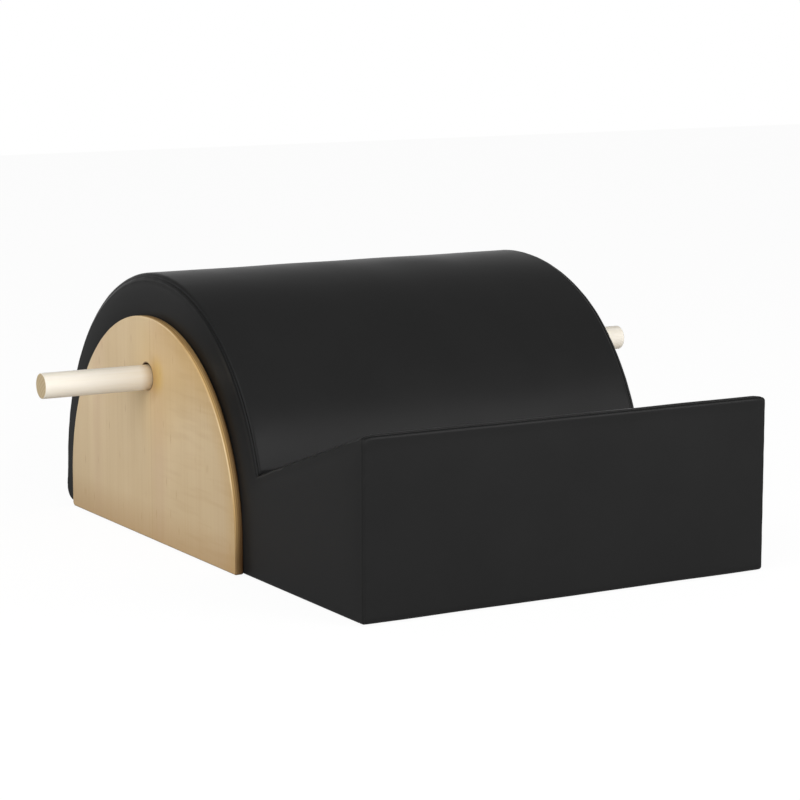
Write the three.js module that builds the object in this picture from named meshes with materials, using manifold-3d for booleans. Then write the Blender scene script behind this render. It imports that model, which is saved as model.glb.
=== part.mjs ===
// Pilates spine corrector: an upholstered arch and step on a plywood carcass, with birch end
// plates and a loose round bar through the arch.
// Millimetres, +Z up. X runs along the bar, +Y points from the front lip to the back of the arch.
// The origin is on the floor, at the middle of the whole object.

import * as THREE from 'three';
import { mergeVertices } from 'three/addons/utils/BufferGeometryUtils.js';
import Module from 'manifold-3d';

const wasm = await Module();
wasm.setup();

// Body outline, seen from the side
const bodyWidth = 600;
const archRadius = 318;
const archCentreFromFront = 580;
const archCentreRise = 48;
const lipRise = 232;
const valleyRise = 140;
const footRise = 2;

// Upholstery
const coverThick = 1.5;
const barrelFoamThick = 22;
const stepFoamThick = 22;
const frontFoamThick = 10;
const sideFoamThick = 8;
const edgeRoll = 13;
const frontEdgeRoll = 5;
const hemRoll = 2;
const lipRadius = 7;
const frontHeelRadius = 8;
const backHeelRadius = 18;
const hemWidth = 35;
const rollTaperLength = 60;

// Carcass
const ribThick = 15;
const skinThick = 5;
const boardThick = 12;
const railDepth = 30;
const railHeight = 20;
const dustCoverThick = 0.8;
const innerRibOffset = 95;
const ribLighteningRadius = 42;

// End plates, bar and its tube. A plate's round edge lies inside the arch's, about a lower centre.
const plateThick = 12;
const plateSetback = 54;
const plateCentreDrop = 4;
const plateCornerRadius = 8;
const plateEdgeBevel = 1.2;
const barRadius = 17.5;
const barLength = 936;
const barEndBevel = 1.5;
const barRise = 225;
const barHoleRadius = 18.6;
const tubeWall = 3;

// Feet and fasteners
const footRadius = 20;
const footInset = 75;
const footEdge = 0.6;
const screwRadius = 2;
const screwHeadRadius = 4;
const screwHeadHeight = 2.6;
const screwPointLength = 4;
const plateScrewBite = 9;
const baseScrewLength = 38;
const baseScrewInset = 110;

// Clearance between neighbouring pieces, the wider one where the step meets the rolled edge of
// the arch, and the overrun of every cut
const fit = 0.3;
const valleyFit = 1.6;
const overrun = 5;

// Counts of facets and steps
const archSteps = 40;
const plateSteps = 64;
const filletSteps = 4;
const rollSteps = 4;
const roundSides = 40;
const screwSides = 12;

const bodyDepth = archCentreFromFront + archRadius;
const frontY = -bodyDepth / 2;
const backY = bodyDepth / 2;
const underZ = footRise;
const archY = frontY + archCentreFromFront;
const archZ = underZ + archCentreRise;
const lipZ = underZ + lipRise;
const halfWidth = bodyWidth / 2;

// Depths of the layers below the vinyl's outer surface
const foamTop = coverThick + fit;
const barrelFoamUnder = foamTop + barrelFoamThick;
const skinTop = barrelFoamUnder + fit;
const skinUnder = skinTop + skinThick;
const ribUnderSkin = skinUnder + fit;
const stepFoamUnder = foamTop + stepFoamThick;
const stepBoardTop = stepFoamUnder + fit;
const stepBoardUnder = stepBoardTop + boardThick;
const ribUnderStep = stepBoardUnder + fit;
const frontFoamUnder = foamTop + frontFoamThick;
const frontBoardFace = frontFoamUnder + fit;
const frontBoardBack = frontBoardFace + boardThick;
const ribBehindFront = frontBoardBack + fit;
const baseUnder = foamTop;
const baseTop = baseUnder + boardThick;
const ribFoot = baseTop + fit;

// Planes across the width
const sideFoamFace = halfWidth - foamTop;
const sideFoamBack = sideFoamFace - sideFoamThick;
const endRibFace = sideFoamBack - fit;
const endRibBack = endRibFace - ribThick;
const plateBack = halfWidth + fit;
const plateFace = plateBack + plateThick;

const plateRadius = archRadius - plateSetback;
const plateZ = archZ - plateCentreDrop;

// The step slopes down from the lip to meet the arch at the valley.
const valleyRun = Math.sqrt(archRadius ** 2 - (valleyRise - archCentreRise) ** 2);
const valleyFromFront = archCentreFromFront - valleyRun;
const stepAngle = Math.atan2(lipRise - valleyRise, valleyFromFront);
const stepNormal = { y: Math.sin(stepAngle), z: Math.cos(stepAngle) };

// Height of the step's slope at y, a given depth below its surface
function stepZ(y, depth) {
  return lipZ - (y - frontY) * Math.tan(stepAngle) - depth / stepNormal.z;
}

// Point of the arch at an angle that starts level at the front, with its outward normal
function archPoint(angle, radius) {
  const normal = { y: -Math.cos(angle), z: Math.sin(angle) };
  return { y: archY + radius * normal.y, z: archZ + radius * normal.z, ny: normal.y, nz: normal.z };
}

// Angle on a circle about the arch's centre where the step's slope, at a given depth, meets it
function valleyAngle(depth, radius) {
  const offset = (stepZ(archY, depth) - archZ) * stepNormal.z;
  return Math.asin(offset / radius) + stepAngle;
}

// Stations round a fillet or an arc, from one normal's angle to another
function filletStations(centreY, centreZ, radius, fromAngle, toAngle, steps) {
  const stations = [];
  for (let i = 0; i <= steps; i += 1) {
    const angle = fromAngle + (toAngle - fromAngle) * i / steps;
    const ny = Math.cos(angle);
    const nz = Math.sin(angle);
    stations.push({ y: centreY + radius * ny, z: centreZ + radius * nz, ny, nz });
  }
  return stations;
}

function withRoll(stations, rollAt) {
  return stations.map((station) => ({ ...station, roll: rollAt(station) }));
}

function blendValues(from, to, share) {
  return from + (to - from) * Math.min(Math.max(share, 0), 1);
}

// The lip's rounding lies against the front face and the slope.
const lipCentreY = frontY + lipRadius;
const lipCentreZ = stepZ(lipCentreY, lipRadius);
const frontNormalAngle = Math.PI;
const slopeNormalAngle = Math.atan2(stepNormal.z, stepNormal.y);
const lipSeamAngle = (frontNormalAngle + slopeNormalAngle) / 2;
const lipSeamGapAngle = fit / lipRadius;

// Stations of the three vinyl strips, each from hem or seam to seam
function frontStations() {
  const heelY = frontY + frontHeelRadius;
  const heelZ = underZ + frontHeelRadius;
  const hem = [{ y: heelY + hemWidth, z: underZ, ny: 0, nz: -1 }];
  const heel = filletStations(
    heelY, heelZ, frontHeelRadius, 3 * Math.PI / 2, frontNormalAngle, filletSteps);
  const lip = filletStations(
    lipCentreY, lipCentreZ, lipRadius, frontNormalAngle, lipSeamAngle + lipSeamGapAngle, filletSteps);
  const hemAndHeel = withRoll(
    [...hem, ...heel], (station) => blendValues(hemRoll, frontEdgeRoll, -station.ny));
  return [...hemAndHeel, ...withRoll(lip, () => frontEdgeRoll)];
}

// Station on the slope, a distance down it from the front plane
function slopeStation(distance) {
  return {
    y: frontY + distance * stepNormal.z,
    z: lipZ - distance * stepNormal.y,
    ny: stepNormal.y,
    nz: stepNormal.z,
    roll: edgeRoll,
  };
}

// Distance down the slope at which a point at some depth reaches a circle about the arch's centre
function slopeReach(depth, radius) {
  const meeting = archPoint(valleyAngle(depth, radius), radius);
  return (meeting.y - frontY) * stepNormal.z - (meeting.z - lipZ) * stepNormal.y;
}

const stepEndRadius = archRadius + valleyFit;
const stepEndDistance = Math.min(slopeReach(0, stepEndRadius), slopeReach(stepFoamUnder, stepEndRadius));
const stepEnd = slopeStation(stepEndDistance);

function stepStations() {
  const lip = filletStations(
    lipCentreY, lipCentreZ, lipRadius, lipSeamAngle - lipSeamGapAngle, slopeNormalAngle, filletSteps);
  const taperEnd = slopeStation(lipRadius + rollTaperLength);
  return [...withRoll(lip, () => frontEdgeRoll), taperEnd, { ...stepEnd, atArch: true }];
}

// Angle at which a bent layer starts, so that its end clears the step's slope at a given depth
function layerStart(depth, outerDepth, innerDepth) {
  return Math.max(valleyAngle(depth, archRadius - outerDepth), valleyAngle(depth, archRadius - innerDepth));
}

function barrelArc(startAngle, steps) {
  const stations = [];
  for (let i = 0; i <= steps; i += 1) {
    stations.push(archPoint(startAngle + (Math.PI - startAngle) * i / steps, archRadius));
  }
  return stations;
}

function barrelStations() {
  const heelY = backY - backHeelRadius;
  const heelZ = underZ + backHeelRadius;
  const arc = barrelArc(layerStart(edgeRoll, 0, edgeRoll), archSteps);
  const heel = filletStations(heelY, heelZ, backHeelRadius, 0, -Math.PI / 2, filletSteps);
  const hem = [{ y: heelY - hemWidth, z: underZ, ny: 0, nz: -1 }];
  const heelAndHem = withRoll([...heel, ...hem], (station) => blendValues(hemRoll, edgeRoll, station.ny));
  return [...withRoll(arc, () => edgeRoll), ...heelAndHem];
}

function insetPoint(station, depth) {
  return { y: station.y - depth * station.ny, z: station.z - depth * station.nz };
}

// Turns a mesh the right way out, whichever way its grid was wound
function facingOut(geometry) {
  const index = geometry.index.array;
  const position = geometry.attributes.position;
  const corners = [new THREE.Vector3(), new THREE.Vector3(), new THREE.Vector3()];
  let volume = 0;
  for (let i = 0; i < index.length; i += 3) {
    corners.forEach((corner, k) => corner.fromBufferAttribute(position, index[i + k]));
    volume += corners[0].dot(corners[1].clone().cross(corners[2]));
  }
  if (volume < 0) {
    for (let i = 0; i < index.length; i += 3) {
      [index[i + 1], index[i + 2]] = [index[i + 2], index[i + 1]];
    }
  }
  return geometry;
}

// How far the rolled edge has dropped at a place across the width
function rollDrop(x, roll) {
  const past = Math.min(Math.max(Math.abs(x) - (halfWidth - roll), 0), roll);
  return roll - Math.sqrt(roll ** 2 - past ** 2);
}

// At the valley the step's rolled edges run on, to where the arch's rolled edges are.
function runToArch(x, depth, roll) {
  return slopeReach(depth, stepEndRadius - rollDrop(x, roll)) - stepEndDistance;
}

// A closed section carried along stations: each section point has a place across the width and
// a depth below the station. The ends are closed by strips between the section's two halves.
function sweep(stations, sectionAt) {
  const sections = stations.map((station) => sectionAt(station));
  const count = sections[0].length;
  const positions = [];
  stations.forEach((station, i) => {
    sections[i].forEach(([x, depth]) => {
      const point = insetPoint(station, depth);
      const run = station.atArch ? runToArch(x, depth, station.roll) : 0;
      positions.push(x, point.y + run * station.nz, point.z - run * station.ny);
    });
  });
  const triangles = [];
  for (let i = 0; i + 1 < stations.length; i += 1) {
    for (let k = 0; k < count; k += 1) {
      const a = i * count + k;
      const b = i * count + (k + 1) % count;
      triangles.push(a, b, b + count, a, b + count, a + count);
    }
  }
  const last = (stations.length - 1) * count;
  for (let k = 0; k < count / 2 - 1; k += 1) {
    const across = count - 1 - k;
    triangles.push(k, across - 1, k + 1, k, across, across - 1);
    triangles.push(last + k, last + k + 1, last + across - 1, last + k, last + across - 1, last + across);
  }
  const geometry = new THREE.BufferGeometry();
  geometry.setAttribute('position', new THREE.Float32BufferAttribute(positions, 3));
  geometry.setIndex(triangles);
  return facingOut(geometry);
}

// Section of a vinyl strip: flat across the width, rolled over both edges, open underneath
function coverSection(roll) {
  const points = [];
  const centreX = halfWidth - roll;
  const addRoll = (radius, side, outward) => {
    for (let i = 0; i <= rollSteps; i += 1) {
      const angle = Math.PI / 2 * (outward ? i : rollSteps - i) / rollSteps;
      points.push([side * (centreX + radius * Math.sin(angle)), roll - radius * Math.cos(angle)]);
    }
  };
  addRoll(roll, -1, false);
  addRoll(roll, 1, true);
  addRoll(roll - coverThick, 1, false);
  addRoll(roll - coverThick, -1, true);
  return points;
}

// Section of a foam pad whose upper edges fill the roll of the vinyl above it
function foamSection(thick) {
  const points = [];
  const radius = edgeRoll - foamTop;
  const centreX = halfWidth - edgeRoll;
  for (const side of [-1, 1]) {
    for (let i = 0; i <= rollSteps; i += 1) {
      const angle = Math.PI / 2 * (side < 0 ? rollSteps - i : i) / rollSteps;
      points.push([side * (centreX + radius * Math.sin(angle)), edgeRoll - radius * Math.cos(angle)]);
    }
  }
  points.push([sideFoamFace, foamTop + thick], [-sideFoamFace, foamTop + thick]);
  return points;
}

function shapeOf(points) {
  return new THREE.Shape(points.map((point) => new THREE.Vector2(point.y, point.z)));
}

function circlePath(y, z, radius, sides) {
  const path = new THREE.Path();
  const points = [];
  for (let i = 0; i < sides; i += 1) {
    const angle = 2 * Math.PI * i / sides;
    points.push(new THREE.Vector2(y + radius * Math.sin(angle), z - radius * Math.cos(angle)));
  }
  path.setFromPoints(points);
  return path;
}

// A side-view outline made solid between two planes across the width
function acrossWidth(shape, fromX, toX, bevel = 0) {
  const low = Math.min(fromX, toX);
  const high = Math.max(fromX, toX);
  const geometry = new THREE.ExtrudeGeometry(shape, {
    depth: high - low - 2 * bevel,
    bevelEnabled: bevel > 0,
    bevelThickness: bevel,
    bevelSize: bevel,
    bevelOffset: -bevel,
    bevelSegments: 1,
    curveSegments: roundSides / 4,
    steps: 1,
  });
  const axes = new THREE.Matrix4().makeBasis(
    new THREE.Vector3(0, 1, 0), new THREE.Vector3(0, 0, 1), new THREE.Vector3(1, 0, 0));
  geometry.applyMatrix4(axes);
  geometry.translate(low + bevel, 0, 0);
  return geometry;
}

// A box between two corners
function block(low, high) {
  const size = high.map((value, i) => value - low[i]);
  const geometry = new THREE.BoxGeometry(...size);
  geometry.translate(...low.map((value, i) => value + size[i] / 2));
  return geometry;
}

// A round solid turned from a profile of radii and heights, standing on +Z
function turned(profile, sides) {
  const points = profile.map(([radius, height]) => new THREE.Vector2(radius, height));
  const geometry = new THREE.LatheGeometry(points, sides);
  geometry.rotateX(Math.PI / 2);
  return geometry;
}

function solidOf(geometry) {
  const bare = new THREE.BufferGeometry();
  bare.setAttribute('position', geometry.attributes.position);
  bare.setIndex(geometry.index);
  const merged = facingOut(mergeVertices(bare));
  return new wasm.Manifold(new wasm.Mesh({
    numProp: 3,
    vertProperties: new Float32Array(merged.attributes.position.array),
    triVerts: new Uint32Array(merged.index.array),
  }));
}

function geometryOf(solid) {
  const mesh = solid.getMesh();
  const geometry = new THREE.BufferGeometry();
  geometry.setAttribute('position', new THREE.BufferAttribute(mesh.vertProperties, 3));
  geometry.setIndex(new THREE.BufferAttribute(mesh.triVerts, 1));
  return geometry;
}

function cutFrom(geometry, cutters) {
  const cut = cutters.reduce((solid, cutter) => solid.subtract(solidOf(cutter)), solidOf(geometry));
  return geometryOf(cut);
}

const finishes = {
  vinyl: new THREE.MeshStandardMaterial({ color: '#2b2b2c', roughness: 0.5, metalness: 0 }),
  foam: new THREE.MeshStandardMaterial({ color: '#d9cfa8', roughness: 0.95, metalness: 0 }),
  carcassPly: new THREE.MeshStandardMaterial({ color: '#b9935f', roughness: 0.7, metalness: 0 }),
  birchPly: new THREE.MeshStandardMaterial({ color: '#c4aa87', roughness: 0.45, metalness: 0 }),
  dowel: new THREE.MeshStandardMaterial({ color: '#ede6d6', roughness: 0.45, metalness: 0 }),
  tube: new THREE.MeshStandardMaterial({ color: '#202020', roughness: 0.55, metalness: 0 }),
  rubber: new THREE.MeshStandardMaterial({ color: '#1c1c1c', roughness: 0.85, metalness: 0 }),
  dustCloth: new THREE.MeshStandardMaterial({ color: '#1f1f21', roughness: 0.95, metalness: 0 }),
  zinc: new THREE.MeshStandardMaterial({ color: '#b8b9b4', roughness: 0.35, metalness: 1 }),
};

const spineCorrector = new THREE.Group();

function addPiece(name, geometry, finish) {
  const mesh = new THREE.Mesh(geometry, finish);
  mesh.name = name;
  spineCorrector.add(mesh);
}

// Places of the screws that hold each end plate, as shares of the plate's radius from its centre
const plateScrewShares = [[-0.72, 0.15], [0.72, 0.15], [-0.42, 0.72], [0.42, 0.72]];
const plateScrewPlaces = plateScrewShares.map(([acrossShare, upShare]) => ({
  y: archY + acrossShare * plateRadius,
  z: plateZ + upShare * plateRadius,
}));

// The bar lies on the bottom of its hole, so the hole's centre is a little above the bar's axis.
const barZ = underZ + barRise;
const holeZ = barZ + (barHoleRadius - barRadius - fit) * Math.cos(Math.PI / roundSides);
const tubeRadius = barHoleRadius + tubeWall;
const tubeHoleRadius = tubeRadius + fit;
const screwHoleRadius = screwRadius + fit;

function addBarAndPlateHoles(shape, radius) {
  shape.holes.push(circlePath(archY, holeZ, radius, roundSides));
  plateScrewPlaces.forEach((place) => {
    shape.holes.push(circlePath(place.y, place.z, screwHoleRadius, screwSides));
  });
}

// Birch plates: a half-round top on straight sides, with small corner radii at the foot
function plateShape() {
  const leftCornerY = archY - plateRadius + plateCornerRadius;
  const rightCornerY = archY + plateRadius - plateCornerRadius;
  const cornerZ = underZ + plateCornerRadius;
  const below = -Math.PI / 2;
  const shape = shapeOf([
    ...filletStations(leftCornerY, cornerZ, plateCornerRadius, -Math.PI, below, filletSteps),
    ...filletStations(rightCornerY, cornerZ, plateCornerRadius, below, 0, filletSteps),
    ...filletStations(archY, plateZ, plateRadius, 0, Math.PI, plateSteps),
  ]);
  shape.holes.push(circlePath(archY, holeZ, barHoleRadius, roundSides));
  return shape;
}

function addPlate(side, name) {
  const plate = acrossWidth(plateShape(), side * plateBack, side * plateFace, plateEdgeBevel);
  const bores = plateScrewPlaces.map((place) => {
    const circle = new THREE.Shape(circlePath(place.y, place.z, screwHoleRadius, screwSides).getPoints());
    return acrossWidth(circle, side * (plateBack - overrun), side * (plateBack + plateScrewBite + fit));
  });
  addPiece(name, cutFrom(plate, bores), finishes.birchPly);
}

addPlate(-1, 'left_plate');
addPlate(1, 'right_plate');

// Round bar with bevelled ends, and the plastic tube that leads it from plate to plate
function addBar() {
  const half = barLength / 2;
  const profile = [
    [0, -half], [barRadius - barEndBevel, -half], [barRadius, -half + barEndBevel],
    [barRadius, half - barEndBevel], [barRadius - barEndBevel, half], [0, half],
  ];
  const bar = turned(profile, roundSides);
  bar.rotateY(Math.PI / 2);
  bar.translate(0, archY, barZ);
  addPiece('bar', bar, finishes.dowel);
}

function addTube() {
  const half = halfWidth;
  const profile = [
    [barHoleRadius, -half], [tubeRadius, -half], [tubeRadius, half], [barHoleRadius, half],
    [barHoleRadius, -half],
  ];
  const tube = turned(profile, roundSides);
  tube.rotateY(Math.PI / 2);
  tube.translate(0, archY, holeZ);
  addPiece('bar_tube', tube, finishes.tube);
}

addBar();
addTube();

// Screws: a low round head, a plain shank and a point, along +Z from the head
function screwGeometry(length) {
  return turned([
    [0, 0], [screwHeadRadius, 0], [screwHeadRadius, screwHeadHeight / 2], [screwRadius, screwHeadHeight],
    [screwRadius, length - screwPointLength], [0, length],
  ], screwSides);
}

function addPlateScrews(side, name) {
  const headX = endRibBack - fit - screwHeadHeight;
  const length = plateBack + plateScrewBite - headX;
  plateScrewPlaces.forEach((place, i) => {
    const screw = screwGeometry(length);
    screw.rotateY(side * Math.PI / 2);
    screw.translate(side * headX, place.y, place.z);
    addPiece(`${name}_${i + 1}`, screw, finishes.zinc);
  });
}

addPlateScrews(-1, 'left_plate_screw');
addPlateScrews(1, 'right_plate_screw');

// Outline of a flat piece inside the body, at its own depth below each face
function innerOutline(frontDepth, stepDepth, archDepth, footDepth) {
  const radius = archRadius - archDepth;
  const startAngle = valleyAngle(stepDepth, radius);
  const points = [
    { y: backY - archDepth, z: underZ + footDepth },
    { y: frontY + frontDepth, z: underZ + footDepth },
    { y: frontY + frontDepth, z: stepZ(frontY + frontDepth, stepDepth) },
  ];
  for (let i = 0; i <= archSteps; i += 1) {
    points.push(archPoint(startAngle + (Math.PI - startAngle) * i / archSteps, radius));
  }
  return points;
}

// Battens across the carcass, each a side-view outline between the end ribs
const railSpan = endRibBack - fit;
const railFrontY = frontY + ribBehindFront;
const railBackY = backY - ribUnderSkin;
const railFootZ = underZ + ribFoot;
const innerRadius = archRadius - ribUnderSkin;
const valleyRailY = archPoint(valleyAngle(ribUnderStep, innerRadius), innerRadius).y - 2 * railDepth;

function slopedRail(fromY, toY, clear) {
  return shapeOf([
    { y: fromY - clear, z: stepZ(fromY - clear, ribUnderStep + railHeight + clear) },
    { y: toY + clear, z: stepZ(toY + clear, ribUnderStep + railHeight + clear) },
    { y: toY + clear, z: stepZ(toY + clear, ribUnderStep - clear) },
    { y: fromY - clear, z: stepZ(fromY - clear, ribUnderStep - clear) },
  ]);
}

function levelRail(fromY, toY, clear) {
  return shapeOf([
    { y: fromY - clear, z: railFootZ - clear },
    { y: toY + clear, z: railFootZ - clear },
    { y: toY + clear, z: railFootZ + railHeight + clear },
    { y: fromY - clear, z: railFootZ + railHeight + clear },
  ]);
}

const rails = [
  { name: 'lip_rail', outline: (clear) => slopedRail(railFrontY, railFrontY + railDepth, clear) },
  { name: 'valley_rail', outline: (clear) => slopedRail(valleyRailY, valleyRailY + railDepth, clear) },
  { name: 'front_rail', outline: (clear) => levelRail(railFrontY, railFrontY + railDepth, clear) },
  { name: 'back_rail', outline: (clear) => levelRail(railBackY - railDepth, railBackY, clear) },
];

rails.forEach((rail) => {
  addPiece(rail.name, acrossWidth(rail.outline(0), -railSpan, railSpan), finishes.carcassPly);
});

// Base screws: one near the front and one near the back of each rib
const innerRibNear = innerRibOffset - ribThick / 2;
const innerRibFar = innerRibOffset + ribThick / 2;
const ribPlanes = [
  { name: 'left_end_rib', fromX: -endRibFace, toX: -endRibBack, inner: false },
  { name: 'left_inner_rib', fromX: -innerRibFar, toX: -innerRibNear, inner: true },
  { name: 'right_inner_rib', fromX: innerRibNear, toX: innerRibFar, inner: true },
  { name: 'right_end_rib', fromX: endRibBack, toX: endRibFace, inner: false },
];
const baseScrewRows = [frontY + baseScrewInset, backY - baseScrewInset];
const baseScrewPlaces = ribPlanes.flatMap((rib) => {
  const x = (rib.fromX + rib.toX) / 2;
  return baseScrewRows.map((y) => ({ x, y }));
});
const baseScrewTop = underZ + baseUnder + baseScrewLength;

function screwShaft(place, fromZ, toZ, radius) {
  const shaft = turned([[0, fromZ], [radius, fromZ], [radius, toZ], [0, toZ]], screwSides);
  shaft.translate(place.x, place.y, 0);
  return shaft;
}

baseScrewPlaces.forEach((place, i) => {
  const screw = screwGeometry(baseScrewLength);
  screw.translate(place.x, place.y, underZ + baseUnder);
  addPiece(`base_screw_${i + 1}`, screw, finishes.zinc);
});

// Lightening holes of the inner ribs, as shares of the arch's radius from its centre
const lighteningShares = [[-0.5, 0.3], [0.5, 0.3], [0, 0.2]];

function addRib(rib) {
  const shape = shapeOf(innerOutline(ribBehindFront, ribUnderStep, ribUnderSkin, ribFoot));
  if (rib.inner) {
    shape.holes.push(circlePath(archY, holeZ, tubeHoleRadius, roundSides));
    lighteningShares.forEach(([acrossShare, upShare]) => {
      const y = archY + acrossShare * archRadius;
      const z = archZ + upShare * archRadius;
      shape.holes.push(circlePath(y, z, ribLighteningRadius, roundSides));
    });
  } else {
    addBarAndPlateHoles(shape, tubeHoleRadius);
  }
  const cutters = baseScrewPlaces
    .filter((place) => place.x > rib.fromX && place.x < rib.toX)
    .map((place) => screwShaft(place, underZ, baseScrewTop + fit, screwHoleRadius));
  if (rib.inner) {
    rails.forEach((rail) => {
      cutters.push(acrossWidth(rail.outline(fit), rib.fromX - overrun, rib.toX + overrun));
    });
  }
  addPiece(rib.name, cutFrom(acrossWidth(shape, rib.fromX, rib.toX), cutters), finishes.carcassPly);
}

ribPlanes.forEach(addRib);

// Bent plywood skin over the arch, down to the base board at the back
function addSkin() {
  const start = layerStart(stepBoardUnder, skinTop, skinUnder);
  const foot = { y: backY, z: underZ + ribFoot, ny: 1, nz: 0 };
  const stations = [...barrelArc(start, archSteps), foot];
  const section = [
    [-endRibFace, skinTop], [endRibFace, skinTop], [endRibFace, skinUnder], [-endRibFace, skinUnder],
  ];
  addPiece('barrel_skin', sweep(stations, () => section), finishes.carcassPly);
}

addSkin();

// Boards under the step and behind the front, and the base
function addStepBoard() {
  const nearY = frontY + frontBoardFace;
  const endRadius = archRadius - barrelFoamUnder;
  const shape = shapeOf([
    { y: nearY, z: stepZ(nearY, stepBoardUnder) },
    archPoint(valleyAngle(stepBoardUnder, endRadius), endRadius),
    archPoint(valleyAngle(stepBoardTop, endRadius), endRadius),
    { y: nearY, z: stepZ(nearY, stepBoardTop) },
  ]);
  addPiece('step_board', acrossWidth(shape, -endRibFace, endRibFace), finishes.carcassPly);
}

addStepBoard();

// An upright slab at the front; its upper front corner may be cut back to clear the lip's rounding.
function frontSlab(face, back, topDepth, foot, cornerCut = 0) {
  const cornerY = frontY + face + cornerCut;
  return shapeOf([
    { y: frontY + face, z: underZ + foot },
    { y: frontY + back, z: underZ + foot },
    { y: frontY + back, z: stepZ(frontY + back, topDepth) },
    { y: cornerY, z: stepZ(cornerY, topDepth) },
    ...(cornerCut > 0 ? [{ y: frontY + face, z: stepZ(frontY + face, topDepth + cornerCut) }] : []),
  ]);
}

addPiece('front_board', acrossWidth(
  frontSlab(frontBoardFace, frontBoardBack, ribUnderStep, ribFoot), -endRibFace, endRibFace),
finishes.carcassPly);

function addBase() {
  const base = block(
    [-endRibFace, frontY + frontBoardFace, underZ + baseUnder],
    [endRibFace, backY - skinTop, underZ + baseTop]);
  const holes = baseScrewPlaces.map((place) => {
    const top = underZ + baseTop + overrun;
    const low = underZ + baseUnder;
    const headTop = low + screwHeadHeight;
    const countersink = turned([
      [0, low - overrun], [screwHeadRadius + fit, low - overrun], [screwHeadRadius + fit, headTop],
      [screwHoleRadius, headTop + fit], [screwHoleRadius, top], [0, top],
    ], screwSides);
    countersink.translate(place.x, place.y, 0);
    return countersink;
  });
  addPiece('base_board', cutFrom(base, holes), finishes.carcassPly);
}

addBase();

// Foam: a bent pad over the arch, slabs on the step and the front, and a sheet on each side
function addBarrelFoam() {
  const heelTop = { y: backY, z: underZ + backHeelRadius, ny: 1, nz: 0 };
  const stations = [...barrelArc(layerStart(stepFoamUnder, foamTop, barrelFoamUnder), archSteps), heelTop];
  const section = foamSection(barrelFoamThick);
  addPiece('barrel_foam', sweep(stations, () => section), finishes.foam);
}

addBarrelFoam();

function addStepFoam() {
  const start = slopeStation((frontBoardFace + stepFoamUnder * stepNormal.y) / stepNormal.z);
  const section = foamSection(stepFoamThick);
  addPiece('step_foam', sweep([start, stepEnd], () => section), finishes.foam);
}

addStepFoam();
const frontFoamFace = halfWidth - frontEdgeRoll;
addPiece('front_foam', acrossWidth(
  frontSlab(foamTop, frontFoamUnder, foamTop, frontHeelRadius, lipRadius), -frontFoamFace, frontFoamFace),
finishes.foam);

function addSideFoam(side, name) {
  const shape = shapeOf(innerOutline(frontBoardFace, stepBoardTop, skinTop, baseUnder));
  addBarAndPlateHoles(shape, tubeHoleRadius);
  addPiece(name, acrossWidth(shape, side * sideFoamBack, side * sideFoamFace), finishes.foam);
}

addSideFoam(-1, 'left_side_foam');
addSideFoam(1, 'right_side_foam');

// Vinyl: strips over the arch, the step and the front, and a panel on each side
addPiece('barrel_cover', sweep(barrelStations(), (station) => coverSection(station.roll)), finishes.vinyl);
addPiece('step_cover', sweep(stepStations(), (station) => coverSection(station.roll)), finishes.vinyl);
addPiece('front_cover', sweep(frontStations(), (station) => coverSection(station.roll)), finishes.vinyl);

// The side panel fills the outline that the three strips' rolled edges leave open.
function sidePanelShape() {
  const inset = (station) => insetPoint(station, station.roll + fit);
  const valley = valleyAngle(edgeRoll + fit, archRadius - edgeRoll - fit);
  const upFront = frontStations().filter((station) => station.nz > -1).map(inset);
  const downStep = stepStations().slice(0, -1).map(inset);
  const overArch = barrelArc(valley, archSteps).map((station) => insetPoint(station, edgeRoll + fit));
  const downBack = barrelStations().filter((station) => station.nz <= 0 && station.nz > -1).map(inset);
  const bottomZ = underZ + hemRoll + fit;
  const points = [
    { y: frontY + frontHeelRadius, z: bottomZ }, ...upFront, ...downStep, ...overArch, ...downBack,
    { y: backY - backHeelRadius, z: bottomZ },
  ];
  return shapeOf(points);
}

function addSideCover(side, name) {
  const shape = sidePanelShape();
  addBarAndPlateHoles(shape, tubeHoleRadius);
  const panel = acrossWidth(shape, side * (halfWidth - coverThick), side * halfWidth);
  const frontEndY = frontY + frontHeelRadius + hemWidth + fit;
  const backEndY = backY - backHeelRadius - hemWidth - fit;
  const hemX = [side * (halfWidth - hemWidth), side * halfWidth].sort((a, b) => a - b);
  const wallX = [side * (halfWidth - coverThick), side * halfWidth].sort((a, b) => a - b);
  const hem = block([hemX[0], frontEndY, underZ], [hemX[1], backEndY, underZ + coverThick]);
  const wall = block([wallX[0], frontEndY, underZ], [wallX[1], backEndY, underZ + hemWidth]);
  const joined = solidOf(panel).add(solidOf(hem)).add(solidOf(wall));
  addPiece(name, geometryOf(joined), finishes.vinyl);
}

addSideCover(-1, 'left_side_cover');
addSideCover(1, 'right_side_cover');

// Rubber foot pads stuck to the base, and the dust cover with a hole for each
const footPlaces = [[-1, -1], [1, -1], [-1, 1], [1, 1]].map(([acrossSign, alongSign]) => ({
  x: acrossSign * (halfWidth - footInset),
  y: alongSign * (backY - footInset),
}));
const footTop = underZ + baseUnder - fit;

footPlaces.forEach((place, i) => {
  const pad = turned([
    [0, 0], [footRadius - footEdge, 0], [footRadius, footEdge], [footRadius, footTop], [0, footTop],
  ], roundSides);
  pad.translate(place.x, place.y, 0);
  addPiece(`foot_pad_${i + 1}`, pad, finishes.rubber);
});

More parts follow.
